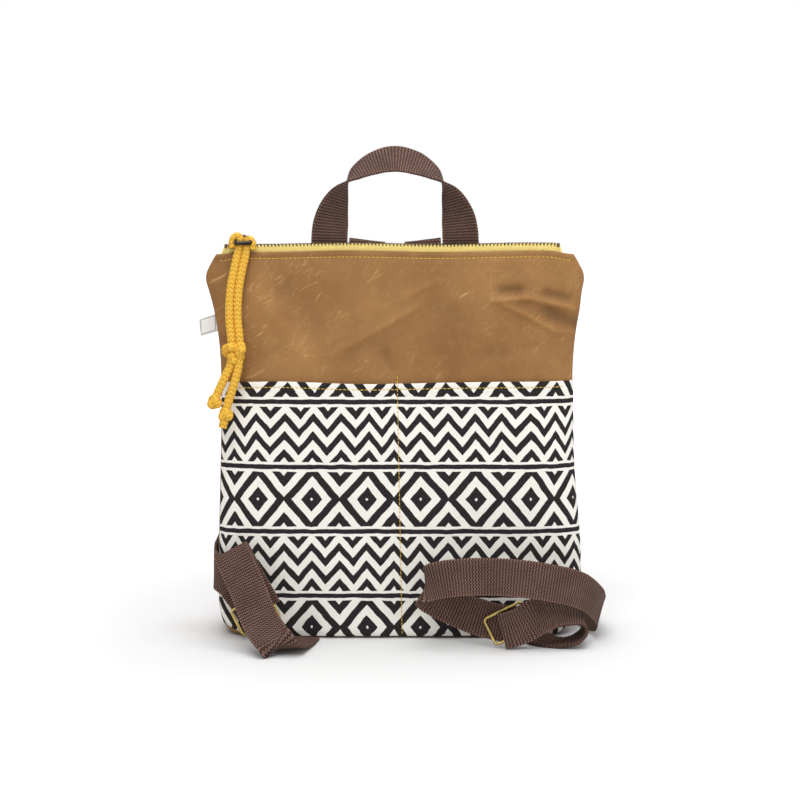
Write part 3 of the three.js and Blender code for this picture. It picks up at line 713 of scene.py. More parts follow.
def braided_cord():
    """Braided cotton cord: plump matt strands, with painted shade in the braid's low places where they dive
    under each other.
    """
    material, add, shader = start_material("braided_cotton_cord", Specular_IOR_Level=0.2, Roughness=0.78)
    tint = colours()
    place = add("TexCoord", output="Object")
    relief = add("Attribute", attribute_name="relief", output=2)
    # The low places of the braid's relief are painted dark as shade
    share = add("MapRange", {0: relief, 1: 0.25, 2: 0.85}, interpolation_type="SMOOTHSTEP")
    fibre = add("TexNoise", {"Vector": place, "Scale": per_mm(0.5), "Detail": 4})
    colour = add("Mix", {0: share, 6: linear(tint.cord_painted_shade), 7: linear(tint.cord)}, **COLOUR_MIX)
    tone = add("MapRange", {0: fibre, 1: 0.3, 2: 0.7, 3: 0.86, 4: 1.08})
    colour = add("VectorMath", {0: colour, "Scale": tone}, operation="SCALE")
    fine = add("Bump", {"Strength": 0.4, "Distance": 0.12 * MM, "Height": fibre})
    join(shader, Base_Color=colour, Normal=fine)
    return material


def plain_thread(name, colour, spacing, roughness):
    """Spun thread or woven tape: fine cross ribs and a matt face, a little uneven in tone."""
    material, add, shader = start_material(name, Specular_IOR_Level=0.25, Roughness=roughness)
    place = add("TexCoord", output="Object")
    ribs = add(
        "TexWave", {"Vector": place, "Scale": wave_mm(spacing), "Distortion": 0.8},
        output=1, bands_direction="DIAGONAL")
    uneven = add("TexNoise", {"Vector": place, "Scale": per_mm(3), "Detail": 4})
    tone = add("Math", {0: ribs, 1: uneven}, operation="ADD")
    tone = add("MapRange", {0: tone, 1: 0.4, 2: 1.5, 3: 0.78, 4: 1.08})
    tinted = add("VectorMath", {0: linear(colour)[:3], "Scale": tone}, operation="SCALE")
    fine = add("Bump", {"Strength": 0.4, "Distance": 0.1 * MM, "Height": ribs})
    join(shader, Base_Color=tinted, Normal=fine)
    return material


def worn_metal(name, colour, roughness, shade):
    """Plated or raw metal: tarnish in soft clouds and fine handling marks in the gloss."""
    material, add, shader = start_material(name, Metallic=1)
    place = add("TexCoord", output="Object")
    tarnish = add("TexNoise", {"Vector": place, "Scale": per_mm(5), "Detail": 5})
    tone = add("MapRange", {0: tarnish, 1: 0.35, 2: 0.65, 3: shade, 4: 1.1})
    tinted = add("VectorMath", {0: linear(colour)[:3], "Scale": tone}, operation="SCALE")
    marks = add("TexNoise", {"Vector": place, "Scale": per_mm(1.2), "Detail": 5})
    gloss = add("MapRange", {0: marks, 1: 0.3, 2: 0.7, 3: roughness - 0.08, 4: roughness + 0.12})
    join(shader, Base_Color=tinted, Roughness=gloss)
    return material


def woven_tag():
    """White woven tape, folded: fine ribs and a thin woven grey line along its edge."""
    material, add, shader = start_material("woven_satin_tape", Specular_IOR_Level=0.3, Roughness=0.6)
    tint = colours()
    flat = add("UVMap", uv_map="UVMap")
    across = add("SeparateXYZ", {0: flat})
    reach = 0
    for output in across.node.outputs[:2]:
        offset = add("Math", {0: output, 1: TAG_SIZE / 2 * MM}, operation="SUBTRACT")
        offset = add("Math", {0: offset}, operation="ABSOLUTE")
        reach = add("Math", {0: offset, 1: reach}, operation="MAXIMUM")
    line = add("Math", {0: reach, 1: TAG_LINE * MM, 2: 0.28 * MM}, operation="COMPARE")
    ribs = add("TexWave", {"Vector": flat, "Scale": wave_mm(0.5)}, output=1)
    colour = add("Mix", {0: line, 6: linear(tint.tag), 7: linear(tint.tag_edge)}, **COLOUR_MIX)
    fine = add("Bump", {"Strength": 0.3, "Distance": 0.08 * MM, "Height": ribs})
    join(shader, Base_Color=colour, Normal=fine)
    return material


# Stage

# Lamps: place and size in metres, power in watts
LAMPS = {
    "key_lamp": ((-0.25, -1.25, 1.8), 1.0, 17),
    "fill_lamp": ((1.3, -1.2, 0.9), 1.5, 7.5),
    "top_lamp": ((0.1, 0.25, 1.75), 1.6, 23),
}
LAMP_AIM = (0, 0, 0.14)
WORLD_LIGHT = 0.5
FLOOR_GREY = 0.88
# The floor's glow for the eye: where it starts and is full, in metres from the bag, and how strong it is
FLOOR_GLOW = {1: 0.2, 2: 1.3, 3: 0.0, 4: 0.8}


def facing(place, aim):
    """Turn of a camera or a lamp that looks from a place at an aim."""
    return (Vector(aim) - Vector(place)).to_track_quat("-Z", "Y").to_euler()


class AddStage(bpy.types.Operator):
    """Puts up the pale floor, the soft studio light and the camera"""
    bl_idname = "backpack.add_stage"
    bl_label = "Stage"

    def execute(self, context):
        view = context.scene.backpack_view
        front = -BASE_HALF_DEPTH * MM
        eye = Vector((view.aim_x, front - view.distance, view.height))
        aim = Vector((view.aim_x, front, view.aim_z))
        camera = bpy.data.objects.new("camera", bpy.data.cameras.new("camera"))
        context.collection.objects.link(camera)
        camera.location = eye
        camera.rotation_euler = facing(eye, aim)
        camera.data.sensor_fit = "HORIZONTAL"
        camera.data.angle = 2 * math.atan(view.span / 2 / (aim - eye).length)
        context.scene.camera = camera
        context.scene.view_settings.view_transform = "Standard"
        for name, (place, size, power) in LAMPS.items():
            self.add_lamp(context, name, place, size, power)
        self.add_world(context.scene)
        self.add_floor(context)
        return {"FINISHED"}

    def add_lamp(self, context, name, place, size, power):
        """Adds a square soft lamp that faces the bag."""
        lamp = bpy.data.objects.new(name, bpy.data.lights.new(name, "AREA"))
        context.collection.objects.link(lamp)
        lamp.data.size = size
        lamp.data.energy = power
        lamp.location = place
        lamp.rotation_euler = facing(place, LAMP_AIM)

    def add_world(self, scene):
        """Shows white where the eye, a gloss or a glass looks past the floor, and lights softly."""
        scene.world = bpy.data.worlds.new("studio")
        scene.world.use_nodes = True
        tree = scene.world.node_tree
        tree.nodes.clear()
        add = functools.partial(add_node, tree)
        seen = self.seen_share(add)
        strength = add("Mix", {0: seen, 2: WORLD_LIGHT, 3: 1.0})
        light = add("Background", {"Color": (1, 1, 1, 1), "Strength": strength})
        add("OutputWorld", {"Surface": light})

    def seen_share(self, add):
        """1 where a ray comes from the eye, a gloss or a glass."""
        camera_ray = add("LightPath", output="Is Camera Ray")
        paths = camera_ray.node.outputs
        seen = add("Math", {0: camera_ray, 1: paths["Is Glossy Ray"]}, operation="MAXIMUM")
        return add("Math", {0: seen, 1: paths["Is Transmission Ray"]}, operation="MAXIMUM")

    def add_floor(self, context):
        """A wide matt floor, which the eye sees as white but for the bag's shadow."""
        shape = bmesh.new()
        bmesh.ops.create_grid(shape, x_segments=1, y_segments=1, size=6)
        floor = bpy.data.objects.new("floor", finished_mesh("floor", shape))
        context.collection.objects.link(floor)
        material, add, shader = start_material(
            "matt_paper", Base_Color=linear((FLOOR_GREY,) * 3), Roughness=0.95, Specular_IOR_Level=0,
            Emission_Color=(1, 1, 1, 1))
        place = add("TexCoord", output="Object")
        away = add("VectorMath", {0: place}, operation="LENGTH", output=1)
        away = add("MapRange", {0: away, **FLOOR_GLOW})
        glow = add("Math", {0: self.seen_share(add), 1: away}, operation="MULTIPLY")
        join(shader, Emission_Strength=glow)
        floor.data.materials.append(material)
        floor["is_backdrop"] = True


# Zip pull and its cord

STRAND_STATIONS = {
    "left": (
        (-107.8, -5.7, 278), (-108, -6.1, 274), (-109.2, -7.3, 268), (-111.2, -10.4, 258),
        (-113.4, -14.2, 246), (-114.4, -17.6, 234), (-114.3, -20.6, 222), (-112.9, -24, 209.6),
        (-112.3, -25.6, 200.5), (-113.6, -27, 191.2), (-117, -29.2, 184), (-120.2, -30.4, 177),
        (-122.5, -31.2, 172), (-124.4, -32, 166.4)),
    "right": (
        (-103.2, -5.7, 278), (-103.2, -6.1, 274), (-103.7, -7.3, 268), (-105.8, -10.4, 258),
        (-107.9, -14.2, 246), (-108.9, -17.6, 234), (-108.8, -20.6, 222), (-107.4, -24, 209.6),
        (-107.6, -25.6, 200.5), (-108, -27, 191.2), (-110, -29.4, 182), (-112.4, -30.8, 174),
        (-115.5, -33.3, 163.8), (-117.2, -35, 156), (-118.6, -36.2, 149)),
}
KNOT_CENTRE = (-110.6, -25.4, 200.5)
END_KNOTS = {"left": (-124.4, -32, 166.4), "right": (-116.6, -34.6, 158)}
# Spread and depth of a knot in millimetres, and its tilt in degrees
MAIN_KNOT = (2.15, 3.2, 104)
END_KNOT = (0.85, 1.6, 40)
CORD_STEP = 0.42
HITCH_RADIUS = 0.43 * CORD_DIAMETER
BAIL_PIVOT = 278.25
BAIL_HALF = 5.1
BAIL_WIRE = 2.8
BAIL_REACH = 9.9
BAIL_DROP = 3.4
BAIL_CORNER = 1.6
HITCH_STATIONS = {
    "left": (
        (-107.6, -4.6, 276.6), (-108.2, -4, 278.8), (-110, -3.9, 279.6), (-112.2, -4.3, 278.2),
        (-113.3, -5.1, 274.6), (-112.8, -5.8, 271.2)),
    "right": (
        (-103.4, -4.8, 275.5), (-102.6, -5, 276.8), (-101.2, -5.2, 277.2), (-99.6, -5.5, 275.9),
        (-99, -6, 272.9), (-99.6, -6.4, 270.2)),
}


def trefoil_path(centre, spread, depth, tilt, steps=110):
    """The path of a tight overhand knot about a centre."""
    path = []
    turned = Matrix.Rotation(math.radians(tilt), 3, "Y")
    for step in range(steps + 1):
        angle = 2 * math.pi * 0.985 * step / steps
        across = math.sin(angle) + 2 * math.sin(2 * angle)
        up = math.cos(angle) - 2 * math.cos(2 * angle)
        out = -math.sin(3 * angle)
        path.append(Vector(centre) + turned @ Vector((across * spread, out * depth, up * spread)))
    return path


def squeezed(share):
    """Radius of a strand along its length: drawn thin where the bail grips it."""
    return CORD_DIAMETER / 2 * (0.78 + 0.22 * smooth(share / 0.12))


def rounded_loop(width, height, radius, steps=6):
    """Corner-rounded rectangle in its own plane, from its lower right corner round to it again."""
    path = []
    for side, end, start in ((1, -1, -90), (1, 1, 0), (-1, 1, 90), (-1, -1, 180)):
        for step in range(steps + 1):
            angle = math.radians(start + 90 * step / steps)
            x = side * (width / 2 - radius) + radius * math.cos(angle)
            y = end * (height / 2 - radius) + radius * math.sin(angle)
            path.append(Vector((x, y, 0)))
    path.append(path[0].copy())
    return path


class AddPull(bpy.types.Operator):
    """Makes the wire bail, the braided cord in it and the cord's knots"""
    bl_idname = "backpack.add_pull"
    bl_label = "Zip pull"

    def execute(self, context):
        cloth = braided_cord()
        main_knot = self.add_braid("pull_knot_braid", trefoil_path(KNOT_CENTRE, *MAIN_KNOT), cloth)
        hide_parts("pull_knot")
        for side, stations in STRAND_STATIONS.items():
            knot = self.add_braid(f"end_knot_{side}_braid", trefoil_path(END_KNOTS[side], *END_KNOT), cloth)
            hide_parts(f"cord_end_knot_{side}")
            path = even_path(stations, CORD_STEP)
            cord = self.add_braid(f"cord_{side}_braid", path, cloth, squeezed)
            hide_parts(f"pull_cord_{side}", f"cord_tail_{side}")
            bight = even_path(HITCH_STATIONS[side], CORD_STEP)
            hitch = self.add_braid(f"hitch_{side}_braid", bight, cloth, HITCH_RADIUS)
            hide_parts(f"cord_hitch_{side}")
            path_length(path) * MM
        self.add_bail()
        return {"FINISHED"}

    def add_braid(self, name, path, cloth, radius=CORD_DIAMETER / 2):
        """Lays a stretch of the cord along a path: a strand, a knot or a bight beside the bail."""
        return new_piece(name, tube_mesh(name, path, radius), cloth, "pull")

    def add_bail(self):
        """Bends the wire loop that turns under the slider's bridge."""
        metal = worn_metal("dark_plated_wire", colours().dark_metal, 0.28, 0.55)
        reach = math.hypot(BAIL_REACH, BAIL_DROP)
        tilt = Matrix.Rotation(math.atan2(BAIL_DROP, BAIL_REACH), 3, "X")
        path = []
        for point in rounded_loop(2 * BAIL_HALF, reach, BAIL_CORNER):
            path.append(tilt @ Vector((point.x, point.y - reach / 2, 0)) + Vector((SLIDER_X, 0, BAIL_PIVOT)))
        level = tilt @ Vector((0, 0, 1))
        mesh = tube_mesh("bail_wire", path, BAIL_WIRE / 2, level, sides=12, braid=False, close=True)
        bail = new_piece("bail_wire", mesh, metal, "pull")
        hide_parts("zip_pull")


# Canvas shell

# Lengths are in millimetres. The pocket's ends are shares of the way from the middle to a side seam
SEAM_HEIGHT = 1.2
BASE_THICKNESS = 0.9
ZIP_CREST = -31
ZIP_WAVE = 125
RIM_STITCH_Z = 265.4
RIM_HEM_Z = 268.5
POCKET_LEFT = -0.878
POCKET_RIGHT = 0.904
POCKET_HEM = 7.5
HEM_STITCH_DROP = 4
CLOTH_GRID = 190


def zip_wave(x):
    """The slack of the zip, from -1 in a dip to 1 on a crest."""
    return math.cos(2 * math.pi * (x - ZIP_CREST) / ZIP_WAVE)


def rim_dip(x):
    """How far the rim hangs below its height, most of all at the ends of the zip."""
    return 1 - 0.55 * zip_wave(x) + 2.2 * smooth((abs(x) - 106) / 16)


def base_tuck(z):
    """How far the cloth turns in where it meets the base."""
    return 1.6 * (1 - smooth((z - SEAM_HEIGHT) / 5))


def shell_point(side, across, up):
    """Point of the front or back canvas; its lower edge turns in under the base."""
    level = SEAM_HEIGHT + (BAG_HEIGHT - SEAM_HEIGHT) * up
    z = level - rim_dip(bag_point(side, across, level).x) * smooth((level - 225) / 45)
    point = bag_point(side, across, z)
    hem = 0.7 * swell(level - RIM_HEM_Z, 2.2) - 0.45 * swell(level - RIM_STITCH_Z, 1.3)
    return bag_point(side, across, z, canvas_wave(side, point) - base_tuck(z) + hem)


class AddCanvas(bpy.types.Operator):
    """Makes the waxed canvas front, back and base"""
    bl_idname = "backpack.add_canvas"
    bl_label = "Canvas"

    def execute(self, context):
        cloth = waxed_canvas()
        for name, side in FACES:
            self.add_face(name, side, cloth)
        self.add_base(cloth)
        return {"FINISHED"}

    def add_face(self, name, side, cloth):
        """Makes the front or the back; its folds' heights are kept for the painted shade in their hollows and
        the paler ridges.
        """
        def place(across, up):
            return shell_point(side, (2 * across - 1) * -side, up)

        def folded(point):
            return face_folds(side, point.x, point.z, 0.5)
        mesh = cloth_mesh(f"{name}_canvas", CLOTH_GRID, CLOTH_GRID, place, unrolled, folded)
        panel = new_piece(f"{name}_canvas", mesh, cloth, "bag")
        thicken(panel, sizes().canvas)
        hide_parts(f"{name}_panel")

    def add_base(self, cloth):
        """Makes the boxed bottom, whose edge rolls up into the seam."""
        half = half_width(SEAM_HEIGHT)

        def place(across, deep):
            x = half * math.cos((1 - across) * math.pi)
            reach = 2 * deep - 1
            edge = 1 - 0.012 * (abs(reach) ** 6)
            row = half_depth(0) * corner_share(x / half)
            lift = 1.2 * max(abs(reach), abs(x / half)) ** 14
            return Vector((x * edge, reach * row * 0.97, 0.45 + lift))
        mesh = cloth_mesh("base_canvas", 90, 40, place, lambda point: (point.x, point.y))
        base = new_piece("base_canvas", mesh, cloth, "bag")
        thicken(base, BASE_THICKNESS * MM, 1)
        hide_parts("base_panel")


class AddPocket(bpy.types.Operator):
    """Makes the printed slip pocket with its hem"""
    bl_idname = "backpack.add_pocket"
    bl_label = "Pocket"

    def execute(self, context):
        cloth = printed_cotton()

        def place(across, up):
            return pocket_point(POCKET_LEFT + (POCKET_RIGHT - POCKET_LEFT) * across, up)
        mesh = cloth_mesh("pocket_cotton", CLOTH_GRID, 170, place, unrolled)
        pocket = new_piece("pocket_cotton", mesh, cloth, "bag")
        thicken(pocket, sizes().cotton, 1)
        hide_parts("front_pocket")
        return {"FINISHED"}


def pocket_bottom(x):
    """Height of the pocket's lower edge: it rises at the corners, most at the left, where the base shows."""
    left = smooth((-x - 96) / 26)
    right = smooth((x - 104) / 22)
    return POCKET_BOTTOM + 11 * left + 3 * right


def pocket_point(across, up):
    """Point of the pocket's inner face."""
    guess = bag_point(-1, across, POCKET_HEIGHT * up)
    low = pocket_bottom(guess.x)
    z = low + (pocket_top(guess.x) - low) * up
    base = bag_point(-1, across, z)
    below = z - pocket_top(base.x)
    hem = 0.5 * smooth((below + POCKET_HEM) / 1.2) - 0.35 * swell(below + HEM_STITCH_DROP, 1.1)
    slack = max(pocket_wave(base.x, z), -0.15)
    return bag_point(-1, across, z, canvas_wave(-1, base) - base_tuck(z) + LAYER_GAP + 0.2 + slack + hem)


# Webbing: handle and straps

# Lengths are in millimetres. The handle's route: shares of its leg and its rise, and a twist in degrees
HANDLE_LEG = 46
HANDLE_TOP = 333
HANDLE_SEWN = 12
HANDLE_BOX = 9.5
STRAP_X = 19.5
STRAP_SEWN_Z = 261
STRAP_FOLD_Z = 275.6
STRAP_FOLD = 5
HANDLE_HALF_ROUTE = (
    (1, 0.08, -88), (0.985, 0.25, -76), (0.935, 0.44, -52), (0.84, 0.62, -27), (0.745, 0.73, -3),
    (0.6, 0.84, 20), (0.315, 0.952, 37), (0, 1, 43))
COTTON_THICKNESS = 1.2
ADJUSTER_WIRE = 2
ADJUSTER_TILT = -26
ADJUSTER_CORNER = 3
RIGHT_STRAP_Y = -57
LOOP_ACROSS = (0.88, 0, 0.47)


def canvas_depth(x, z):
    """How far the plain canvas form stands from the middle plane."""
    return half_depth(z) * corner_share(min(abs(x) / half_width(z), 0.999)) + LAYER_GAP / 2


def back_depth(x, z, layers):
    """Middle plane of webbing on the back, with a number of layers under it."""
    return canvas_depth(x, z) + LAYER_GAP + WEB_THICKNESS / 2 + layers * (WEB_THICKNESS + LAYER_GAP)


def front_depth(x, z, gap):
    """Middle plane of webbing that lies on the pocket."""
    return canvas_depth(x, z) + 2 * LAYER_GAP + COTTON_THICKNESS + WEB_THICKNESS / 2 + gap


def handle_stations():
    """Stations of the grab handle: each leg twists so that the arch faces up."""
    rise = HANDLE_TOP - BAG_HEIGHT
    rim_y = back_depth(HANDLE_LEG, BAG_HEIGHT, 0) + 1
    sewn_y = back_depth(HANDLE_LEG, BAG_HEIGHT - HANDLE_SEWN, 0)
    half = [(HANDLE_LEG, BAG_HEIGHT - HANDLE_SEWN, -90, sewn_y)]
    half += [(out * HANDLE_LEG, BAG_HEIGHT + up * rise, twist, rim_y) for out, up, twist in HANDLE_HALF_ROUTE]
    full = [(-x, z, twist, y) for x, z, twist, y in half] + half[-2::-1]
    stations = []
    for index, (x, z, twist, y) in enumerate(full):
        before = full[max(index - 1, 0)]
        after = full[min(index + 1, len(full) - 1)]
        along = Vector((after[0] - before[0], 0, after[1] - before[1])).normalized()
        outward = Vector((-along.z, 0, along.x))
        turn = math.radians(twist)
        across = Vector((0, math.cos(turn), 0)) + outward * math.sin(turn)
        stations.append(((x, y, z), tuple(across)))
    return stations


def strap_top(side):
    """First stretch of a shoulder strap: sewn to the back rim, folded over, laid down the back."""
    x = side * STRAP_X
    across = (side, 0, 0.13)
    rim_y = back_depth(x, BAG_HEIGHT, 0)
    fold_z = STRAP_FOLD_Z - STRAP_FOLD / 2
    return [
        ((x, back_depth(x, STRAP_SEWN_Z, 0), STRAP_SEWN_Z), across),
        ((x, rim_y + 0.6, fold_z), across),
        ((x, rim_y + STRAP_FOLD / 2 + 0.6, STRAP_FOLD_Z), across),
        ((x, rim_y + STRAP_FOLD + 1, fold_z), across),
        ((x * 1.12, back_depth(x, 258, 2.6), 258), across),
        ((x * 1.6, back_depth(x * 1.6, 235, 2), 235), (side * 0.97, 0, 0.25)),
        ((x * 2.6, back_depth(x * 2.6, 190, 1), 190), (side * 0.93, 0, 0.37)),
        ((x * 3.7, back_depth(x * 3.7, 140, 1), 140), (side * 0.9, 0, 0.43)),
    ]


def right_strap_stations():
    """Right strap: round the side, along the front, back under itself to the adjuster."""
    return strap_top(1) + [
        ((92, back_depth(92, 92, 1) + 1, 92), (0.8, 0, 0.6)), ((102, 44, 52), (0.72, 0.1, 0.69)),
        ((114, 45, 24.8), (0.5, 0.1, 0.85)), ((129, 34, 12.8), (0.5, 0.1, 0.86)),
        ((137.5, 13, 11.4), (0.58, 0.05, 0.8)), ((141.5, -8, 12), (0.5, 0.05, 0.86)),
        ((143.6, -25, 16.2), (0.3, 0.1, 0.94)), ((141, -40, 25.4), (0.1, 0.15, 0.98)),
        ((127, -57.5, 39.6), (-0.02, 0.2, 1)),
        ((98, -69, 49), (-0.02, 0.2, 1)), ((68, -72, 52.5), (0.02, 0.18, 1)),
        ((42, -70, 51.5), (0.06, 0.15, 1)), ((26, -64.5, 47.5), (0.14, 0.1, 1)),
        ((21, -58.5, 42), (0.24, 0, 1)), ((26, -53, 35), (0.32, -0.05, 1)),
        ((42, -53, 26.5), (0.3, -0.05, 1)), ((58, -55, 20.5), (0.25, 0, 1)),
        ((74, RIGHT_STRAP_Y, 17), (0.2, 0, 1)), ((88, RIGHT_STRAP_Y, 15.5), (0.15, 0, 1)),
    ]


def lower_right_stations():
    """Lower right web: out of the bottom seam, folded over at the right and up to the adjuster."""
    return [
        ((98, -front_depth(98, 0, 0.8), 1.7), (0.98, 0.21, 0)), ((101, -41, 1.7), (0.9, 0.42, 0)),
        ((107.5, -47, 1.7), (0.62, 0.78, 0)), ((117, -50.5, 2.2), (0.25, 0.97, 0)),
        ((126, -51.5, 5.2), (0, 1, 0)), ((131.2, -51.5, 12), (0, 1, 0)),
        ((128.4, -51.5, 19.2), (0, 0.98, 0.2)), ((119, -52.5, 23), (0, 0.9, 0.42)),
        ((106.5, -56.4, 24.6), (0, 0.75, 0.66)), ((96.5, -62.6, 22.6), (-0.12, 0.3, 0.94)),
        ((88, -64.4, 18), (-0.3, 0, 0.95)), ((79.5, -63.9, 14.4), (-0.41, 0, 0.91)),
        ((73, -63.2, 12.7), (-0.43, 0, 0.9)),
    ]


def left_strap_stations():
    """Left strap: round the left side close to the bag and in behind its own loop."""
    return strap_top(-1) + [
        ((-94, back_depth(94, 92, 1) + 1, 92), (-0.75, 0, 0.66)),
        ((-113, 37.5, 63), (-0.45, 0.05, 0.9)),
        ((-126.6, 18, 50), (0, 0, 1)), ((-127.4, -6, 48.5), (0, 0, 1)),
        ((-124.4, -25, 46.5), (0.08, 0, 1)), ((-113.5, -front_depth(113, 42, 3.4), 41), (0.42, 0, 0.91)),
        ((-105, -front_depth(105, 30, 2), 30.5), (0.68, 0, 0.73)),
        ((-98, -front_depth(98, 18, 1), 19), (0.88, 0, 0.47)),
    ]


def left_frame_y():
    """Middle plane of the left adjuster, between the strap and the loop."""
    return -front_depth(88, 30, 0.6) - WEB_THICKNESS / 2 - LAYER_GAP - ADJUSTER_WIRE / 2


def lower_left_stations():
    """Loop of the left strap: up the front, over a hump, down to the floor and to the bottom seam."""
    loop_y = left_frame_y() - ADJUSTER_WIRE / 2 - LAYER_GAP - WEB_THICKNESS / 2
    return [
        ((-91, loop_y, 22), LOOP_ACROSS), ((-97.5, loop_y, 34), LOOP_ACROSS),
        ((-105, loop_y, 48), LOOP_ACROSS), ((-110.8, loop_y - 0.8, 59.5), LOOP_ACROSS),
        ((-113.2, -42.5, 64.6), LOOP_ACROSS), ((-111.8, -47, 62.6), LOOP_ACROSS),
        ((-101.8, -58, 44), LOOP_ACROSS), ((-91, -71, 21.5), (0.9, 0.1, 0.43)),
        ((-83.5, -80.5, 13.5), (0.95, 0.25, 0.3)), ((-79.5, -83.5, 9.4), (0.97, 0.3, 0.12)),
        ((-75.5, -79.5, 5.8), (0.97, 0.25, 0)), ((-71, -64, 2.2), (0.97, 0.25, 0)),
        ((-67.5, -49, 1.5), (0.97, 0.25, 0)), ((-65, -front_depth(65, 0, 1.5), 1.6), (0.97, 0.2, 0)),
    ]


class AddWebbing(bpy.types.Operator):
    """Makes the grab handle and the shoulder straps"""
    bl_idname = "backpack.add_webbing"
    bl_label = "Webbing"

    def execute(self, context):
        cloth = cotton_webbing()
        bands = {
            "grab_handle": handle_stations(),
            "strap_right": right_strap_stations(),
            "strap_left": left_strap_stations(),
            "lower_strap_right": lower_right_stations(),
            "lower_strap_left": lower_left_stations(),
        }
        for node, stations in bands.items():
            mesh, length = ribbon_mesh(f"{node}_web", stations)
            band = new_piece(f"{node}_web", mesh, cloth, "bag")
            thicken(band, WEB_THICKNESS * MM, 0)
            soften(band, 0.5 * MM)
            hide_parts(node)
        return {"FINISHED"}


class AddAdjusters(bpy.types.Operator):
    """Bends the two brass strap adjusters"""
    bl_idname = "backpack.add_adjusters"
    bl_label = "Adjusters"

    width: length_setting("Width", "Outer width of an adjuster", 31)
    height: length_setting("Height", "Outer height of an adjuster", 22)

    def execute(self, context):
        metal = worn_metal("bright_brass_wire", colours().brass, 0.28, 0.7)
        right_y = RIGHT_STRAP_Y - WEB_THICKNESS / 2 - LAYER_GAP - ADJUSTER_WIRE / 2
        centres = {"right": (78, right_y, 17.5), "left": (-97, left_frame_y(), 18)}
        turned = Matrix.Rotation(math.radians(ADJUSTER_TILT), 3, "Y") @ Matrix.Rotation(math.pi / 2, 3, "X")
        level = turned @ Vector((0, 0, 1))
        outline = rounded_loop(
            self.width / MM - ADJUSTER_WIRE, self.height / MM - ADJUSTER_WIRE, ADJUSTER_CORNER)
        for side, centre in centres.items():
            name = f"adjuster_{side}_wire"
            path = [turned @ point + Vector(centre) for point in outline]
            mesh = tube_mesh(name, path, ADJUSTER_WIRE / 2, level, sides=14, braid=False, close=True)
            wire = new_piece(name, mesh, metal, "bag")
            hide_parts(f"adjuster_{side}")
        return {"FINISHED"}


# Zip, in millimetres

TAPE_LOW = 262
TAPE_HIGH = 274.9
TAPE_SLANT = 5.5
TAPE_THICKNESS = 0.8
TOOTH_PITCH = 2.5
TOOTH_SIZE = (1.05, 1.7, 1.9)
TOOTH_MIDDLE = 274.8
FIRST_TOOTH = 3


def zip_dip(x):
    """How far the zip hangs below its height, most of all past the slider's way."""
    return 1.2 - 0.5 * zip_wave(x) + 0.8 * smooth((abs(x) - 110) / 9)


def eased_copy(name, node, material, body, width, drop=0):
    """A copy of a metal solid with its edges rounded as casting and tumbling leave them."""
    shape = bmesh.new()
    shape.from_mesh(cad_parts[node].data)
    bmesh.ops.remove_doubles(shape, verts=shape.verts, dist=1e-6)
    bmesh.ops.dissolve_limit(
        shape, angle_limit=math.radians(1), verts=shape.verts, edges=shape.edges,
        use_dissolve_boundaries=False)
    sharp = [edge for edge in shape.edges if edge.is_manifold and edge.calc_face_angle() > math.radians(30)]
    bmesh.ops.bevel(
        shape, geom=sharp, offset=width * MM, affect="EDGES", segments=2, profile=0.5, material=-1,
        clamp_overlap=True)
    bmesh.ops.translate(shape, verts=shape.verts, vec=(0, 0, -drop * MM))
    piece = new_piece(name, finished_mesh(name, shape), material, body)
    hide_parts(node)
    return piece


class AddZip(bpy.types.Operator):
    """Makes the zip's tapes, teeth, stops and slider"""
    bl_idname = "backpack.add_zip"
    bl_label = "Zip"

    def execute(self, context):
        tape_cloth = plain_thread("woven_cotton_zip_tape", colours().tape, 0.7, 0.8)
        metal = worn_metal("antique_brass", colours().zip_metal, 0.38, 0.45)
        for name, side in FACES:
            self.add_tape(name, side, tape_cloth)
            self.add_teeth(name, side, metal)
        for side, x in (("left", ZIP_LEFT), ("right", ZIP_RIGHT)):
            eased_copy(f"stop_{side}_metal", f"zip_stop_{side}", metal, "bag", 0.4, zip_dip(x))
        eased_copy("slider_metal", "zip_slider", metal, "slider", 0.35)
        return {"FINISHED"}

    def add_teeth(self, name, side, metal):
        """Clamps a row of teeth to a tape; the two rows stand half a pitch apart."""
        shape = bmesh.new()
        lead = FIRST_TOOTH if side < 0 else FIRST_TOOTH + TOOTH_PITCH / 2
        size = Matrix.Diagonal((*(length * MM for length in TOOTH_SIZE), 1))
        for index in range(int((ZIP_RIGHT - ZIP_LEFT - FIRST_TOOTH - lead) / TOOTH_PITCH) + 1):
            x = ZIP_LEFT + lead + index * TOOTH_PITCH
            middle = Vector((x, side * (LAYER_GAP + TOOTH_SIZE[1]) / 2, TOOTH_MIDDLE - zip_dip(x)))
            bmesh.ops.create_cube(shape, size=1, matrix=Matrix.Translation(middle * MM) @ size)
        bmesh.ops.bevel(
            shape, geom=shape.edges[:], offset=0.3 * MM, affect="EDGES", segments=2, profile=0.5, material=-1)
        teeth = new_piece(f"teeth_{name}_metal", finished_mesh("teeth", shape), metal, "bag")
        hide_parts(f"zip_teeth_{name}")

    def add_tape(self, name, side, cloth):
        """Hangs one zip tape between the rims, a little wavy along its free edge."""
        def place(across, up):
            x = ZIP_LEFT + (ZIP_RIGHT - ZIP_LEFT) * (across if side < 0 else 1 - across)
            x += TAPE_SLANT * (1 - up) * math.copysign(smooth((abs(x) - 105) / 12), x)
            z = TAPE_LOW + (TAPE_HIGH - TAPE_LOW) * up
            y = side * (LAYER_GAP / 2 + TAPE_THICKNESS)
            return Vector((x, y, z - zip_dip(x) + 0.12 * up * crumple(x, side * 20, 0, 17, 4)))
        mesh = cloth_mesh(f"tape_{name}_cloth", 150, 8, place, lambda point: (point.x, point.z))
        tape = new_piece(f"tape_{name}_cloth", mesh, cloth, "bag")
        thicken(tape, TAPE_THICKNESS * MM)
        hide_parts(f"zip_tape_{name}")


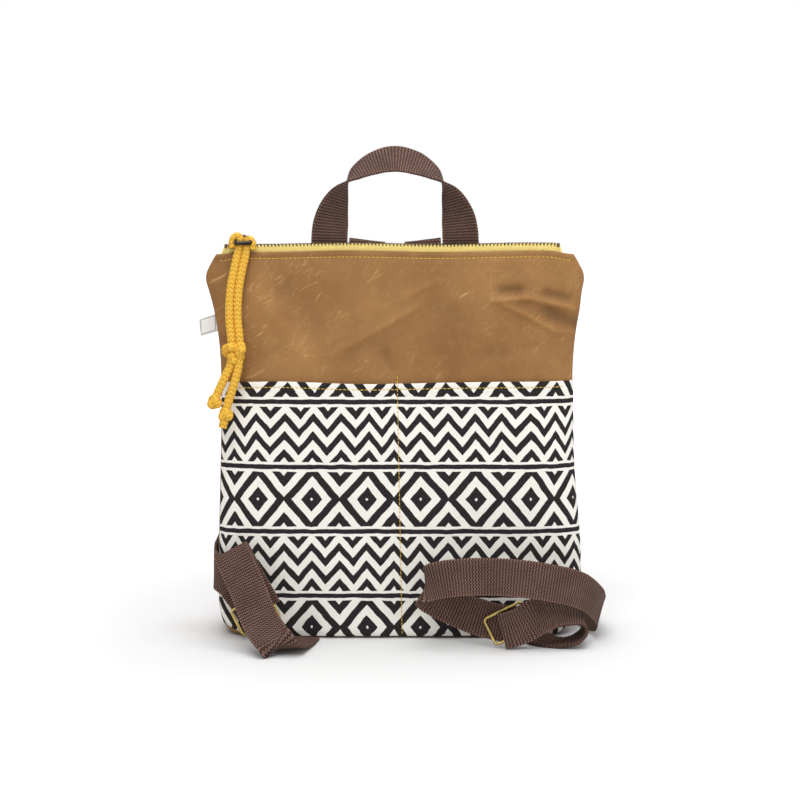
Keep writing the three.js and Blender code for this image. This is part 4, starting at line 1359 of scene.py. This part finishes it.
class AddTag(bpy.types.Operator):
    """Folds the small blank tag in the left side seam"""
    bl_idname = "backpack.add_tag"
    bl_label = "Tag"

    size: length_setting("Size", "Side of the folded tag", TAG_SIZE)
    middle: length_setting("Height", "Height of the tag's middle over the floor", 219)

    def execute(self, context):
        size = self.size / MM
        middle = self.middle / MM
        tilt = math.tan(math.radians(17))

        def place(across, up):
            reach = size * (1 - across)
            z = middle + (up - 0.5) * size
            curl = 0.9 * (reach / size) ** 2
            return Vector((-(half_width(z) + LAYER_GAP + reach) + 0.6, -0.45 - curl, z - reach * tilt))

        def unroll(point):
            reach = -point.x - half_width(middle)
            return size - reach, point.z + reach * tilt - middle + size / 2
        mesh = cloth_mesh("tag_tape", 14, 14, place, unroll)
        tag = new_piece("tag_tape", mesh, woven_tag(), "bag")
        thicken(tag, 0.9 * MM)
        soften(tag, 0.3 * MM)
        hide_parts("side_tag")
        return {"FINISHED"}


# Half the length of the rows of stitches along the rim and the hem, in millimetres
RIM_STITCH_HALF = 121
HEM_STITCH_HALF = 117
# Lower and upper side of the square at a handle's end, as shares of what is sewn there
HANDLE_BOX_LOW = 0.2
HANDLE_BOX_HIGH = 0.85


def shares(steps):
    """Even shares from 0 to 1."""
    return [step / steps for step in range(steps + 1)]


class AddStitching(bpy.types.Operator):
    """Sews the topstitching: along the zip, the pocket's hem and its middle seam, and at the handle's ends"""
    bl_idname = "backpack.add_stitching"
    bl_label = "Stitching"

    def execute(self, context):
        thread = plain_thread("polyester_topstitch_thread", colours().thread, 0.6, 0.5)
        rows = {
            "rim_front": [self.rim_point(-1, share) for share in shares(120)],
            "rim_back": [self.rim_point(1, share) for share in shares(120)],
            "pocket_hem": [self.hem_point(share) for share in shares(160)],
            "pocket_divider": [self.divider_point(share) for share in shares(120)],
            "handle_left": self.handle_box(-1),
            "handle_right": self.handle_box(1),
        }
        on_back = ("rim_back", "handle_left", "handle_right")
        for name, path in rows.items():
            out = Vector((0, 1 if name in on_back else -1, 0))
            shape = bmesh.new()
            add_stitches(
                shape, path, out, sizes().stitch / MM, sizes().stitch_gap / MM, sizes().thread / MM)
            mesh = finished_mesh(f"stitches_{name}", shape)
            new_piece(f"stitches_{name}", mesh, thread, "bag")
        return {"FINISHED"}

    def rim_point(self, side, share):
        """Point of the row under the zip, on the canvas."""
        up = (RIM_STITCH_Z - SEAM_HEIGHT) / (BAG_HEIGHT - SEAM_HEIGHT)
        across = across_at(RIM_STITCH_HALF * (2 * share - 1), RIM_STITCH_Z)
        return shell_point(side, across, up) + Vector((0, side * 0.1, 0))

    def handle_box(self, side):
        """Path of the square of stitches that holds one end of the handle to the back."""
        low = BAG_HEIGHT - HANDLE_SEWN
        foot = back_depth(HANDLE_LEG, low, 0)
        rise = back_depth(HANDLE_LEG, BAG_HEIGHT, 0) + 1 - foot
        corners = [
            (-1, HANDLE_BOX_HIGH), (-1, HANDLE_BOX_LOW), (1, HANDLE_BOX_LOW), (1, HANDLE_BOX_HIGH),
            (-1, HANDLE_BOX_HIGH)]
        path = []
        for (across, up), (next_across, next_up) in zip(corners, corners[1:]):
            for share in shares(12)[:-1]:
                x = side * HANDLE_LEG + HANDLE_BOX * (across + (next_across - across) * share)
                height = up + (next_up - up) * share
                y = foot + rise * height + WEB_THICKNESS / 2 + 0.4
                path.append(Vector((x, y, low + HANDLE_SEWN * height)))
        return path + path[:1]

    def on_pocket(self, across, up):
        """Point of the thread on the pocket's outer face."""
        return pocket_point(across, up) + Vector((0, -sizes().cotton / MM - 0.1, 0))

    def hem_point(self, share):
        """Point of the row under the pocket's upper edge."""
        across = across_at(HEM_STITCH_HALF * (2 * share - 1), POCKET_HEIGHT)
        top = pocket_point(across, 1).z
        return self.on_pocket(across, 1 - HEM_STITCH_DROP / (top - POCKET_BOTTOM))

    def divider_point(self, share):
        """Point of the row that halves the pocket, from the canvas over the hem to the base."""
        z = POCKET_HEIGHT + 4 - (POCKET_HEIGHT + 1) * share
        across = across_at(divider_x(z), z)
        if z > POCKET_HEIGHT - 0.5:
            return shell_point(-1, across, z / BAG_HEIGHT) + Vector((0, -0.4, 0))
        return self.on_pocket(across, (z - POCKET_BOTTOM) / (pocket_top(divider_x(z)) - POCKET_BOTTOM))


OPERATORS = (AddStage, AddPull, AddCanvas, AddPocket, AddZip, AddWebbing, AddAdjusters, AddTag, AddStitching)


class BackpackPanel(bpy.types.Panel):
    """Lists the pieces of the backpack and their settings"""
    bl_idname = "VIEW3D_PT_backpack"
    bl_label = "Backpack"
    bl_space_type = "VIEW_3D"
    bl_region_type = "UI"
    bl_category = "Backpack"

    def draw(self, context):
        for operator in OPERATORS:
            self.layout.operator(operator.bl_idname)
        for group in SETTINGS:
            box = self.layout.box()
            settings = getattr(context.scene, group)
            for name in settings.__annotations__:
                box.prop(settings, name)


SETTINGS = {
    "backpack_sizes": BackpackSizes,
    "backpack_colours": BackpackColours,
    "backpack_view": BackpackView,
}
CLASSES = (*SETTINGS.values(), *OPERATORS, BackpackPanel)


def register():
    """Registers the classes and ties the settings to the scene."""
    for item in CLASSES:
        bpy.utils.register_class(item)
    for name, group in SETTINGS.items():
        setattr(bpy.types.Scene, name, bpy.props.PointerProperty(type=group))


def unregister():
    """Removes the settings and the classes."""
    for name in SETTINGS:
        delattr(bpy.types.Scene, name)
    for item in reversed(CLASSES):
        bpy.utils.unregister_class(item)


def main():
    register()
    bpy.ops.backpack.add_stage()
    bpy.ops.backpack.add_pull()
    bpy.ops.backpack.add_canvas()
    bpy.ops.backpack.add_pocket()
    bpy.ops.backpack.add_zip()
    bpy.ops.backpack.add_webbing()
    bpy.ops.backpack.add_adjusters()
    bpy.ops.backpack.add_tag()
    bpy.ops.backpack.add_stitching()
    boxes = {"cad": CAD_BOX, "visual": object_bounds()}
    {name: [list(corner) for corner in box] for name, box in boxes.items()}


if __name__ == "__main__":
    main()
